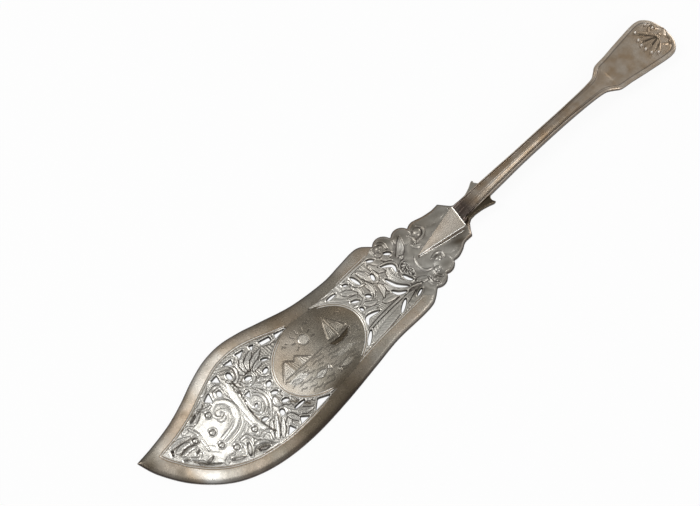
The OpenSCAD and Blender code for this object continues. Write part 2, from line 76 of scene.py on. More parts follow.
# Inner thread lines. The tip field's meet in a corner by the point, and the heel field's run to the heel
TIP_CREST = [
    (-96, 14.9), (-101.7, 16.7), (-107, 18.9), (-112, 20.6), (-117, 21.9), (-122.1, 22.4), (-127, 22.2),
    (-132.2, 21.1), (-142.2, 17.2), (-152.2, 12.9), (-162.3, 9.9), (-172.6, 8.2),
]
TIP_BELLY = [
    (-172.6, 8.2), (-171.3, 4.8), (-169.2, 1), (-167, -2.8), (-161.7, -9.4), (-156.5, -14), (-151.3, -17.2),
    (-146.2, -19.5), (-141, -21), (-130.8, -22.6), (-120.7, -22.8), (-110, -22.1), (-98, -20.9),
]
HEEL_CREST = [(-83, 14.2), (-76, 13.4), (-66.4, 13.5), (-56, 14), (-47, 14.4)]
HEEL_BELLY = [(-85.6, -18.9), (-76, -17.8), (-66, -17.1), (-60.3, -16.9), (-50, -16.5), (-43, -16.1)]

MEDAL_AT = (-92.9, -3.3)
MEDAL_SEMI = (24.25, 18)
MEDAL_TILT = math.radians(6)
# Its border stands on two arcs, in degrees. Between them it runs into the rim
BORDER_ARCS = ((110, 246), (-66, 53))

# Saw-pierced holes. Ovals are x, y, length, width, angle
OVALS = [
    (-72.3, 11, 5, 1.3, 0), (-63.9, 10.9, 2.2, 1.2, -30), (-59.2, 9.3, 5.6, 1.7, -80), (-52.5, 5.3, 3.4, 1.8, 65),
    (-47.8, 11.8, 3.6, 1.5, -35), (-39.9, 9, 3.6, 1.6, -40), (-66, 2.3, 4, 1.4, -30), (-60.2, 0.3, 2.7, 1.6, -45),
    (-66.4, -2.3, 2, 1.4, 90), (-52.4, -13.8, 7, 1.4, 32), (-73.5, -14.3, 7.5, 1.4, 38), (-42.8, -14.1, 4, 0.9, 20),
    (-128.6, 14.9, 3.4, 2, 80), (-137, 12, 3, 2.2, 70), (-123.4, 8.6, 3.2, 2, -15), (-112.6, 10.1, 3.2, 1.2, -30),
    (-115.8, 6.1, 3, 1.8, 20), (-118.9, 0.7, 2.8, 2, 30), (-119.8, -3.8, 3, 1.8, -30), (-129.4, -2.8, 2, 1.2, 30),
    (-130.7, -9.7, 3, 1.6, -20), (-118.9, -9.6, 3.2, 1.8, -20), (-123.5, -12.6, 3, 2, 60),
    (-115.9, -15.2, 5.5, 1.2, 0),
]
GUSSETS = [
    [(-102.6, 13.7), (-101.7, 15.9), (-96.6, 14.5)], [(-109.2, 17.8), (-104.2, 16.5), (-104.7, 14.7), (-109, 15.7)],
    [(-113.4, 19.2), (-111.6, 18.4), (-113.8, 16.8)], [(-120.2, 20.5), (-116.3, 19.7), (-119.9, 17.8)],
    [(-127.3, 20.4), (-123, 20), (-124.3, 17.7)], [(-136, 18.4), (-132.4, 18.9), (-133.3, 15.4)],
    [(-144.1, 13.7), (-140.1, 15.4), (-141.5, 10.8)], [(-130, 4), (-127, 4.2), (-128.8, 1.7)],
    [(-112.9, -22), (-108.6, -18.6), (-103.4, -21.1)], [(-121.2, -22.1), (-119.5, -19.3), (-116.5, -21.9)],
    [(-128.7, -22), (-125.4, -19.1), (-124.3, -22)],
]
SLITS = [
    [(-46.6, 6.3), (-42.4, 3.4), (-43.3, 0)], [(-69.6, -9.5), (-67.2, -6.8), (-61.6, -8.1)],
    [(-49.4, 0.8), (-47.9, -4.6), (-44, -8.8)], [(-51.2, -5.3), (-49.8, -8), (-46.5, -9.8)],
    [(-42.2, -3.2), (-41.8, -5.6), (-40.5, -7.8)],
]
SLIT_WIDTH = (0.5, 1.7, 0.4)
# Blind recesses
PIT_OVALS = [
    (-152.6, 11.2, 4, 1, 20), (-168.6, 5.8, 2.6, 0.9, 60), (-166.3, -0.5, 2.4, 0.9, -35), (-160.5, -1, 2.2, 0.9, 20),
    (-159.2, -7.2, 4, 1.3, 8), (-150.2, -14.9, 6.4, 1.5, -30), (-139.6, -19, 4.8, 1.6, -20),
]
PIT_SLITS = [[(-142.8, -12.4), (-144.4, -15), (-146.2, -17.6)]]

# The handle: x, half width of its outline
HANDLE_HALF = [
    (-6.2, 4.3), (-4.4, 4.5), (-2, 4.4), (0, 4.2), (6, 4), (13, 3.8), (22, 3.6), (34, 3.3), (52, 3.25), (64, 3.3),
    (72, 3.5), (79, 3.8), (84, 4.2), (88, 4.9), (91, 6.6), (93.5, 8.2), (96, 8.75), (101, 9.2), (108, 10.2),
    (116, 11.2), (122, 11.9), (126, 12), (129, 11.2), (131.6, 8.9), (133.3, 5.3), (134, 0),
]
# x, height of the underside, height of the top
HANDLE_LEVEL = [
    (-6.6, 0.2, 3.7), (-4.4, 0.2, 4.4), (-2, 0.3, 5), (0, 0.3, 5.4), (6, 1, 6.1), (13, 1.9, 6.8), (22, 2.6, 7.5),
    (34, 3.4, 8.2), (52, 4.1, 8.9), (68, 4.4, 8.8), (80, 4.7, 8.2), (88, 4.8, 7.6), (95, 4.6, 7.1),
    (105, 4.1, 6.5), (118, 3.3, 5.7), (134, 2.2, 4.7),
]

# How brown the rim is along the blade: x, share on the crest side, share on the belly side. Above zero it is tarnish,
# in places also painted shade that dims the lamp's highlight; below zero it is painted highlight
RIM_TARNISH_AND_PAINTED_LIGHT = [
    (-182, 0.5, 0.8), (-172, 0.25, 0.5), (-166, 0.45, -0.6), (-158, 0.3, 0.2), (-149, 0, 0.35), (-140, -0.5, 0.45),
    (-131, -0.1, 0.65), (-122, 0.05, 0.95), (-113, 0.5, 0.95), (-104, 0.5, 0.95), (-95, 0.7, 0.95), (-86, 0.6, 0.75),
    (-77, 0.65, 0.35), (-68, 0.45, -0.2), (-58, 0.1, -0.12), (-40, 0.1, 0),
]
# Browner spots, and brighter ones of painted highlight where the share is below zero: x, y, reach, share
STAINS_AND_PAINTED_LIGHT = [
    (-177, 9.5, 4, 0.35), (-170.6, -2.6, 2.4, 0.4), (-163, -14, 3, -0.9), (-151, -23.5, 2.4, 0.2),
    (-144.6, -27, 2, 0.3), (-136.6, -26, 2, -0.3), (-154, 15.6, 2, 0.3), (-133, 24, 2, 0.3), (-126, 25.4, 2.4, -0.3),
    (-84, 1, 10, 0.5), (-107, -9, 8, -0.5),
]


# ---- Curves and distances -------------------------------------------------------------------------------------

def curve(knots, steps=6):
    """Points of a smooth curve through knots."""
    k = np.array(knots, float)
    k = np.vstack([k[0], k, k[-1]])
    out = []
    for i in range(1, len(k) - 2):
        a, b, c, d = k[i - 1], k[i], k[i + 1], k[i + 2]
        for t in np.arange(steps) / steps:
            square, cube = 2 * a - 5 * b + 4 * c - d, 3 * b - a - 3 * c + d
            out.append((2 * b + (c - a) * t + square * t * t + cube * t ** 3) / 2)
    out.append(k[-2])
    return np.array(out)


def headings(line):
    """The direction of a line at each of its points, as unit vectors."""
    ahead = np.vstack([line[1:], line[-1]]) - np.vstack([line[0], line[:-1]])
    return ahead / np.linalg.norm(ahead, axis=1)[:, None]


def beside(line, d):
    """The line moved sideways by d, one distance or one for each point, to its left where d is above zero."""
    u = headings(line)
    return line + np.c_[-u[:, 1], u[:, 0]] * d


def closed(loop):
    """The loop as a line that ends where it starts."""
    return np.vstack([loop, loop[0]])


def oval(x, y, length, width, angle=0, n=20):
    t = np.arange(n) * TURN / n
    a = math.radians(angle)
    p = np.c_[length / 2 * np.cos(t), width / 2 * np.sin(t)]
    return p @ np.array([[math.cos(a), math.sin(a)], [-math.sin(a), math.cos(a)]]) + (x, y)


def polar(x, y, r, a):
    """The point at a distance and an angle from another."""
    return x + r * math.cos(a), y + r * math.sin(a)


def width_at(f, widths):
    """Width at a share of a band's length, from its widths at the start, the middle and the end."""
    return widths[0] * (1 - f) * (1 - 2 * f) + 4 * widths[1] * f * (1 - f) + widths[2] * f * (2 * f - 1)


def band(line, widths):
    """Outline of a band along a line."""
    half = (width_at(np.linspace(0, 1, len(line)), widths) / 2)[:, None]
    return np.vstack([beside(line, half), beside(line, -half)[::-1]])


def rounded(loop, cut):
    """A closed loop with its corners cut, by a share of each side's length."""
    after = np.roll(loop, -1, axis=0)
    return np.stack([loop * (1 - cut) + after * cut, loop * cut + after * (1 - cut)], 1).reshape(-1, 2)


def area(loop):
    after = np.roll(loop, -1, axis=0)
    return (loop[:, 0] * after[:, 1] - after[:, 0] * loop[:, 1]).sum() / 2


def turned(loop, left):
    """The loop, running to the left or to the right round its inside."""
    return loop if (area(loop) > 0) == left else loop[::-1]


def nearest(points, line):
    """For each point: its distance to the line, and how far along the line that is, from 0 to 1."""
    a, b = line[:-1], line[1:]
    ab = b - a
    size = np.maximum((ab ** 2).sum(1), 1e-12)
    along = np.concatenate([[0], np.cumsum(np.sqrt(size))])
    best = np.full(len(points), np.inf)
    place = np.zeros(len(points))
    for i in range(len(a)):
        rel = points - a[i]
        t = np.clip((rel @ ab[i]) / size[i], 0, 1)
        off = rel - t[:, None] * ab[i]
        d = (off ** 2).sum(1)
        closer = d < best
        best[closer] = d[closer]
        place[closer] = ((along[i] + t * (along[i + 1] - along[i])) / along[-1])[closer]
    return np.sqrt(best), place


def within(points, loop):
    """Which points lie inside a closed loop."""
    x, y = points[:, 0], points[:, 1]
    inside = np.zeros(len(points), bool)
    for (x0, y0), (x1, y1) in zip(loop, np.roll(loop, -1, axis=0)):
        if y0 == y1:
            continue
        crosses = (y0 > y) != (y1 > y)
        inside ^= crosses & (x < (x1 - x0) * (y - y0) / (y1 - y0) + x0)
    return inside


def stain_and_painted_light_at(plan, rim=False):
    """Share of brown at points of the plan, in the fields or on the rim and what it runs into. Below zero it is
    painted highlight, and on the rim some of the brown is painted shade that dims the lamp's highlight.
    """
    x, y = plan.T
    share = 0.2 * np.clip((x + 128) / 30, 0, 1)
    if rim:
        knots = np.array(RIM_TARNISH_AND_PAINTED_LIGHT).T
        middle = np.interp(x, (-182, -170, -150, -40), (13, 3, -1, -1))
        crest = np.clip((y - middle) / 6 + 0.5, 0, 1)
        along = crest * np.interp(x, knots[0], knots[1]) + (1 - crest) * np.interp(x, knots[0], knots[2])
        near = np.clip((15 - nearest(plan, EDGE)[0]) / 7, 0, 1)
        share = share + (along - share) * near
    for cx, cy, reach, most in STAINS_AND_PAINTED_LIGHT:
        share = share + most * np.exp(-((x - cx) ** 2 + (y - cy) ** 2) / reach ** 2)
    return np.clip(share, -1, 0.95)


def blade_outline():
    """The outer edge of the blade, heel and neck as one loop."""
    neck = [(x, NECK_HALF + (NECK_CORNER - NECK_HALF) * f) for x, f in NECK_SHARE]
    upper = np.vstack([curve(CREST, 8), curve(SHIELD, 5), neck])
    lower = np.vstack([curve(BELLY, 8), curve(SHIELD_BACK, 5), [(x, -y) for x, y in neck]])
    heel_start, neck_end, step = -48, 1.5, 0.3
    edges = []
    for line, sign in ((upper, 1), (lower, -1)):
        far = line[line[:, 0] < heel_start]
        # Beside the heel the edge is the outer one of its curve and the lobes' circles
        x = np.arange(heel_start + 0.2, neck_end, step)
        y = np.interp(x, line[:, 0], line[:, 1] * sign)
        for cx, cy in LOBES:
            rise = LOBE_R ** 2 - (x - cx) ** 2
            if cy * sign > 0:
                y = np.where(rise > 0, np.maximum(y, cy * sign + np.sqrt(np.maximum(rise, 0))), y)
        edges.append(np.vstack([far, np.c_[x, y * sign]]))
    return np.vstack([edges[0], edges[1][:0:-1]])


def tip_line(out=0.0):
    """The inner thread round the tip field, from the medallion's crest side to its belly side, moved out."""
    upper = beside(curve(TIP_CREST, 6), -out)
    lower = beside(curve(TIP_BELLY, 6), -out)
    corner = np.array([[TIP_CREST[-1][0] - 1.1 * out, TIP_CREST[-1][1] + 0.7 * out]])
    return np.vstack([upper[:-1], corner, lower[1:]])


def heel_lines(out=0.0):
    """The heel field's two inner threads, crest and belly side, each from the medallion to the heel, moved out."""
    return beside(curve(HEEL_CREST, 6), out), beside(curve(HEEL_BELLY, 6), -out)


OUTLINE = blade_outline()
EDGE = closed(OUTLINE)
HOLES = (
    [oval(*o) for o in OVALS]
    + [rounded(turned(np.array(g, float), True), 0.08) for g in GUSSETS]
    + [turned(band(curve(s, 5), SLIT_WIDTH), True) for s in SLITS]
)
PITS = [oval(*o) for o in PIT_OVALS] + [turned(band(curve(s, 5), SLIT_WIDTH), True) for s in PIT_SLITS]


# ---- Blender helpers ------------------------------------------------------------------------------------------

def only(piece):
    """Selects the piece alone and makes it active."""
    bpy.ops.object.select_all(action="DESELECT")
    piece.select_set(True)
    bpy.context.view_layer.objects.active = piece


def settle(piece, name, smooth=40):
    """Names a piece, puts its place into its mesh and closes its seams."""
    only(piece)
    piece.name = piece.data.name = name
    bpy.ops.object.transform_apply(location=True, rotation=True, scale=True)
    bpy.ops.object.mode_set(mode="EDIT")
    bpy.ops.mesh.select_all(action="SELECT")
    bpy.ops.mesh.remove_doubles(threshold=1e-6)
    bpy.ops.mesh.normals_make_consistent(inside=False)
    bpy.ops.object.mode_set(mode="OBJECT")
    bpy.ops.object.shade_smooth_by_angle(angle=math.radians(smooth))
    return piece


def belongs(piece, material):
    """Hands a finished piece its material and its place in the frame."""
    piece.data.materials.clear()
    piece.data.materials.append(material)
    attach(piece, "root")
    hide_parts("fish_server")


def add_spline(data, points, cyclic=False):
    """Adds a line of points in millimetres to curve data."""
    spline = data.splines.new("POLY")
    spline.points.add(len(points) - 1)
    spline.points.foreach_set("co", np.c_[points * MM, np.ones(len(points))].ravel())
    spline.use_cyclic_u = cyclic
    return spline


def meshed(name, data, height=0.0):
    """A mesh piece made from curve data."""
    piece = bpy.data.objects.new(name, data)
    bpy.context.collection.objects.link(piece)
    piece.location.z = height
    only(piece)
    bpy.ops.object.convert(target="MESH")
    return bpy.context.object


def filled_plate(name, outline, holes, bottom, top, edge=0.0):
    """A plate cut from sheet: a flat filled curve with holes, given its thickness and a rounded edge."""
    data = bpy.data.curves.new(name, "CURVE")
    data.dimensions = "2D"
    data.fill_mode = "BOTH"
    data.extrude = ((top - bottom) / 2 - edge) * MM
    data.bevel_depth = edge * MM
    data.bevel_resolution = 3
    data.offset = -edge * MM
    for i, loop in enumerate([outline, *holes]):
        loop = turned(np.asarray(loop), i > 0)
        add_spline(data, np.c_[loop, np.zeros(len(loop))], True)
    return meshed(name, data, (top + bottom) / 2 * MM)


def wire(name, lines, radius):
    """Round wires with tapered ends along lines of points in millimetres."""
    data = bpy.data.curves.new(name, "CURVE")
    data.dimensions = "3D"
    data.bevel_depth = radius * MM
    data.bevel_resolution = 2
    data.use_fill_caps = True
    for line in lines:
        line = np.asarray(line, float)
        from_end = np.minimum(np.arange(len(line)), np.arange(len(line))[::-1])
        add_spline(data, line).points.foreach_set("radius", np.clip(0.3 + from_end * 0.2, 0, 1))
    return settle(meshed(name, data), name, 60)


def cut_to(piece, cutter):
    """Keeps what of the piece lies inside the cutter."""
    only(piece)
    modifier = piece.modifiers.new("Outline", "BOOLEAN")
    modifier.operation = "INTERSECT"
    modifier.object = cutter
    modifier.solver = "MANIFOLD"
    bpy.ops.object.modifier_apply(modifier="Outline")
    bpy.data.objects.remove(cutter)
    if len(piece.data.vertices) == 0:
        raise RuntimeError(f"{piece.name} has nothing left inside its outline")
    return piece


def slab(name, low, high, cell, bottom, top):
    """A closed block whose top is a fine grid, between two corners in millimetres."""
    size = np.subtract(high, low)
    bpy.ops.object.select_all(action="DESELECT")
    centre = ((low[0] + high[0]) / 2 * MM, (low[1] + high[1]) / 2 * MM, top * MM)
    bpy.ops.mesh.primitive_grid_add(
        x_subdivisions=int(size[0] / cell), y_subdivisions=int(size[1] / cell), size=MM, location=centre
    )
    piece = bpy.context.object
    piece.name = name
    piece.scale = (size[0], size[1], 1)
    bpy.ops.object.transform_apply(location=True, rotation=True, scale=True)
    bpy.ops.object.mode_set(mode="EDIT")
    bpy.ops.mesh.select_all(action="SELECT")
    bpy.ops.mesh.region_to_loop()
    bpy.ops.mesh.extrude_edges_move(TRANSFORM_OT_translate={"value": (0, 0, (bottom - top) * MM)})
    bpy.ops.mesh.edge_face_add()
    bpy.ops.mesh.select_all(action="SELECT")
    bpy.ops.mesh.normals_make_consistent(inside=False)
    bpy.ops.object.mode_set(mode="OBJECT")
    return piece


def mark(mesh, attribute, values):
    """Keeps a share for each point of a mesh, for its material to read."""
    kept = mesh.attributes.new(attribute, "FLOAT", "POINT")
    kept.data.foreach_set("value", np.asarray(values, np.float32))


def loft(name, rings, smooth, marks):
    """A closed solid through rings of points, each ring listed the same way round. Marks gives each point its shares
    of hollow patina and painted shade, of shade, and of stain and painted highlight."""
    n = len(rings[0])
    points = [tuple(p) for ring in rings for p in np.asarray(ring) * MM]
    faces = [
        (j * n + i, j * n + (i + 1) % n, (j + 1) * n + (i + 1) % n, (j + 1) * n + i)
        for j in range(len(rings) - 1) for i in range(n)
    ]
    faces += [tuple(range(n)), tuple(range((len(rings) - 1) * n, len(rings) * n))]
    mesh = bpy.data.meshes.new(name)
    mesh.from_pydata(points, [], faces)
    for attribute, values in zip(("hollow", "shade", "stain_and_painted_light"), np.reshape(marks, (len(points), 3)).T):
        mark(mesh, attribute, values)
    piece = bpy.data.objects.new(name, mesh)
    bpy.context.collection.objects.link(piece)
    return settle(piece, name, smooth)


# ---- Raised and engraved work -----------------------------------------------------------------------------------

MOAT_WIDTH = 0.42
PIT_DEPTH = 0.4
# How far the heights are smoothed to find the narrow and the wide hollows, and how strongly each then shows
HOLLOWS = ((0.45, 3.0), (1.4, 2.2))


class Relief:
    """Heights in millimetres over a rectangle of the plan, built up from strokes."""

    def __init__(self, low, high, step=0.1):
        self.low, self.step = np.array(low, float), step
        self.shape = tuple(int(round(s / step)) + 1 for s in np.subtract(high, low))
        x = self.low[0] + np.arange(self.shape[0]) * step
        y = self.low[1] + np.arange(self.shape[1]) * step
        self.points = np.stack(np.meshgrid(x, y, indexing="ij"), -1)
        self.z = np.zeros(self.shape)
        self.tone = np.zeros(self.shape)

    def window(self, line, reach):
        """The part of the plan near a line: its slice and its points."""
        line = np.asarray(line)
        a = np.floor((line.min(0) - reach - self.low) / self.step).astype(int)
        b = np.ceil((line.max(0) + reach - self.low) / self.step).astype(int) + 1
        a = np.clip(a, 0, np.array(self.shape) - 1)
        b = np.clip(b, 1, self.shape)
        part = (slice(a[0], b[0]), slice(a[1], b[1]))
        return part, self.points[part].reshape(-1, 2)

    def along(self, line, reach):
        """The part of the plan near a line: its slice, and its points' distances and places along the line."""
        part, points = self.window(line, reach)
        return part, *nearest(points, line)

    def about(self, x, y, reach):
        """The part of the plan near a point: its slice, and its points' distances and heights."""
        part, points = self.window([(x, y)], reach)
        return part, np.linalg.norm(points - (x, y), axis=1), self.z[part].ravel()

    def set(self, part, heights):
        """Puts heights in place of a part's own."""
        self.z[part] = heights.reshape(self.z[part].shape)

    def raise_to(self, part, heights):
        """Puts heights where they are above a part's own."""
        self.set(part, np.maximum(self.z[part].ravel(), heights))

    def add_tone(self, part, tone):
        self.tone[part] += tone.reshape(self.tone[part].shape)

    def leaf(self, knots, width, height, veins=0, lobes=0):
        """A leaf along a curve: crowned, with a groove on its middle line and slanting veins."""
        line = curve(knots, 6)
        length = np.linalg.norm(np.diff(line, axis=0), axis=1).sum()
        part, d, f = self.along(line, width)
        swell = np.sin(math.pi * np.clip(f, 0.001, 0.999) ** 0.72) ** 0.8
        half = width / 2 * np.maximum(swell, 0.06)
        if lobes:
            half = half * (1 - 0.2 * np.abs(np.sin(math.pi * lobes * (f - 0.25 * d / length))))
        r = d / half
        z = 0.25 + height * (0.55 + 0.45 * np.sqrt(np.clip(1 - r ** 2, 0, 1)))
        z = z - 0.22 * np.exp(-(d / 0.24) ** 2) * (f < 0.93)
        if veins:
            wave = np.cos(TURN * (f * length - 0.9 * d) / veins)
            z = z - 0.13 * np.clip(wave, 0, 1) ** 2 * np.clip((d - 0.25) * 3, 0, 1)
        self.moat(part, d - half)
        self.raise_to(part, np.where(r < 1, z, -9))

    def moat(self, part, outside):
        """A narrow sunk line round a shape, from the distance outside it."""
        half = MOAT_WIDTH / 2
        away = np.abs(outside - half) / half
        cut = np.where(away < 1, 0.05 + 0.5 * away ** 2, 9)
        self.set(part, np.minimum(self.z[part].ravel(), cut))

    def scroll(self, knots, widths, height, soft=False, base=0.1):
        """A rounded band along a curve. A soft one has no sunk line round it."""
        line = curve(knots, 6)
        part, d, f = self.along(line, max(widths))
        half = np.maximum(width_at(f, widths), 0.2) / 2
        r = d / half
        z = base + height * np.sqrt(np.clip(1 - r ** (4 if soft else 2), 0, 1))
        if not soft:
            self.moat(part, d - half)
        self.raise_to(part, np.where(r < 1, z, -9))

    def groove(self, knots, width, depth):
        """An engraved line."""
        line = curve(knots, 5)
        part, d, f = self.along(line, width)
        ends = np.clip(np.minimum(f, 1 - f) * 8, 0.25, 1)
        cut = depth * ends * np.clip(1 - d / (width / 2 * ends), 0, 1)
        self.set(part, self.z[part].ravel() - cut)

    def bead(self, x, y, r, height=0.8):
        """A round boss with a sunk ring round it."""
        part, d, z = self.about(x, y, r + 1)
        ring = np.clip((d - r) / 0.55, 0, 1)
        z = np.where(d < r + 0.55, np.minimum(z, z.min() + ring * 2 + 0.07), z)
        dome = 0.15 + height * np.sqrt(np.clip(1 - (d / r) ** 2, 0, 1))
        self.set(part, np.where(d < r, dome, z))

    def eyelet(self, x, y, r):
        """A small boss in a sunk ring with a raised lip."""
        part, d, z = self.about(x, y, r + 1)
        lip = 0.5 * np.sqrt(np.clip(1 - ((d - r) / 0.5) ** 2, 0, 1)) + 0.25
        boss = 0.6 * np.sqrt(np.clip(1 - (d / (0.62 * r)) ** 2, 0, 1))
        self.set(part, np.where(d < r - 0.25, boss, np.where(d < r + 0.5, np.maximum(lip, z * (d > r)), z)))

    def dome(self, x, y, length, width, angle, height, base):
        """A broad crowned field."""
        part, points = self.window([(x, y)], max(length, width))
        a = math.radians(angle)
        p = points - (x, y)
        u = (p[:, 0] * math.cos(a) + p[:, 1] * math.sin(a)) / (length / 2)
        v = (p[:, 1] * math.cos(a) - p[:, 0] * math.sin(a)) / (width / 2)
        r = np.sqrt(u ** 2 + v ** 2)
        self.raise_to(part, np.where(r < 1, base + height * np.clip(1 - r ** 2, 0, 1) ** 0.5, -9))

    def lip(self, loop, height=0.45):
        """A raised lip round a hole, sinking to the hole's edge."""
        part, points = self.window(loop, 1.75)
        d = nearest(points, closed(loop))[0]
        z = self.z[part].ravel()
        rise = np.clip(d / 0.35, 0, 1)
        crown = 0.15 + height * np.sqrt(np.clip(1 - ((d - 0.45) / 0.45) ** 2, 0, 1))
        z = np.where(d < 0.9, np.maximum(np.minimum(z, crown + np.clip(d - 0.45, 0, 1)), crown), z)
        z = z * rise - 0.12 * (1 - rise)
        self.set(part, np.where(within(points, loop), -0.15, z))

    def pit(self, loop):
        """A blind recess with a raised lip."""
        self.lip(loop, 0.35)
        part, points = self.window(loop, 1)
        well = -PIT_DEPTH * np.clip(nearest(points, closed(loop))[0] / 0.35, 0, 1) - 0.1
        self.set(part, np.where(within(points, loop), well, self.z[part].ravel()))

    def patch(self, loop, tone):
        """Makes an area browner, or brighter where tone is below zero."""
        part, points = self.window(loop, 0.3)
        inside = within(points, np.asarray(loop, float)).reshape(self.tone[part].shape)
        self.tone[part] = np.where(inside, tone, self.tone[part])

    def stroke(self, knots, width, tone):
        """A soft band of tone along a curve."""
        line = curve(knots, 6)
        part, d, f = self.along(line, width)
        self.add_tone(part, tone * np.exp(-(d / (width / 2)) ** 2))

    def spot(self, x, y, reach, tone):
        """A soft round patch."""
        part, points = self.window([(x, y)], reach * 2)
        self.add_tone(part, tone * np.exp(-((points - (x, y)) ** 2).sum(1) / reach ** 2))

    def sample(self, values, points):
        """Values kept on the grid, read at points of the plan."""
        g = (points - self.low) / self.step
        i = np.clip(np.floor(g).astype(int), 0, np.array(self.shape) - 2)
        t = np.clip(g - i, 0, 1)
        x, y = i[:, 0], i[:, 1]
        return (
            values[x, y] * (1 - t[:, 0]) * (1 - t[:, 1]) + values[x + 1, y] * t[:, 0] * (1 - t[:, 1])
            + values[x, y + 1] * (1 - t[:, 0]) * t[:, 1] + values[x + 1, y + 1] * t[:, 0] * t[:, 1]
        )

    def blurred(self, reach):
        """The heights smoothed over a distance."""
        n = max(1, int(reach / self.step))
        z = self.z
        for _ in range(3):
            for axis in (0, 1):
                pad = np.concatenate([z.take([0] * n, axis), z, z.take([-1] * n, axis)], axis)
                total = np.cumsum(pad, axis)
                width = 2 * n + 1
                first = total.take(range(width - 1, pad.shape[axis]), axis)
                last = np.concatenate(
                    [np.zeros_like(total.take([0], axis)), total.take(range(0, pad.shape[axis] - width), axis)], axis
                )
                z = (first - last) / width
        return z


def embossed(name, outline, holes, cell, floor, base, shape):
    """A slab of the outline whose top follows shape: for points of the plan, the height over the base and the shares
    that the material reads: of how deep the narrow and the wide hollows are, which on the rim is painted shade along
    its edge instead, and of how brown it is, brighter as painted highlight below zero."""
    outline = np.asarray(outline)
    # The block is cut while its top is flat and well over the base, so that the top's points are told by height
    spare = base + 3
    piece = slab(name, outline.min(0) - 0.3, outline.max(0) + 0.3, cell, floor, spare)
    cutter = filled_plate(name + "_cutter", outline, holes, floor - 1, spare + 2)
    settle(cutter, name + "_cutter")
    cut_to(piece, cutter)
    settle(piece, name, 60)
    mesh = piece.data
    co = np.zeros(len(mesh.vertices) * 3)
    mesh.vertices.foreach_get("co", co)
    co = co.reshape(-1, 3) / MM
    on_top = co[:, 2] > spare - 0.1
    height, hollow, shade, stain_and_painted_light = shape(co[:, :2])
    co[on_top, 2] = (base + height)[on_top]
    mesh.vertices.foreach_set("co", (co * MM).ravel())
    mark(mesh, "hollow", np.where(on_top, hollow, 0))
    mark(mesh, "shade", np.where(on_top, shade, 0))
    mark(mesh, "stain_and_painted_light", stain_and_painted_light)
    mesh.update()
    return piece


def worked(relief, outline, sink=0.35, level=None, rim=False):
    """The shape of a relief, sinking to its outline, on a level or following one."""
    depths = [(relief.blurred(reach) - relief.z, gain) for reach, gain in HOLLOWS]

    def shape(plan):
        fade = np.clip(nearest(plan, closed(outline))[0] / 0.5, 0, 1)
        height = relief.sample(relief.z, plan) * fade - sink * (1 - fade)
        hollow, shade = (np.clip(relief.sample(depth, plan) * gain, -1, 1) for depth, gain in depths)
        stain_and_painted_light = relief.sample(relief.tone, plan) + stain_and_painted_light_at(plan, rim)
        return height + (level(plan) if level else 0), hollow, shade, stain_and_painted_light

    return shape


def rim_shape(plan):
    """The rim is crowned and falls away to a thin outer edge, darkened with painted shade, farther in along the belly
    side.
    """
    d = nearest(plan, EDGE)[0]
    middle, thinned = 3.4, 1.7
    crown = 0.14 * np.clip(1 - ((d - middle) / middle) ** 2, 0, 1)
    edge = np.clip(1 - d / thinned, 0, 1) ** 2
    x, y = plan.T
    # Painted shade along the outer edge: a narrow dark line and a wider darkening, reaching farther in along the
    # belly side
    dark = 1.3 + np.where(y < 0, np.interp(x, (-164, -158, -100, -88), (0, 1.4, 1.4, 0)), 0)
    hollow, shade = 0.95 * np.clip(1 - d / 0.75, 0, 1), 0.8 * np.clip(1 - d / dark, 0, 1)
    return crown - 0.42 * edge, hollow, shade, stain_and_painted_light_at(plan, True)


# ---- The ornament -----------------------------------------------------------------------------------------------

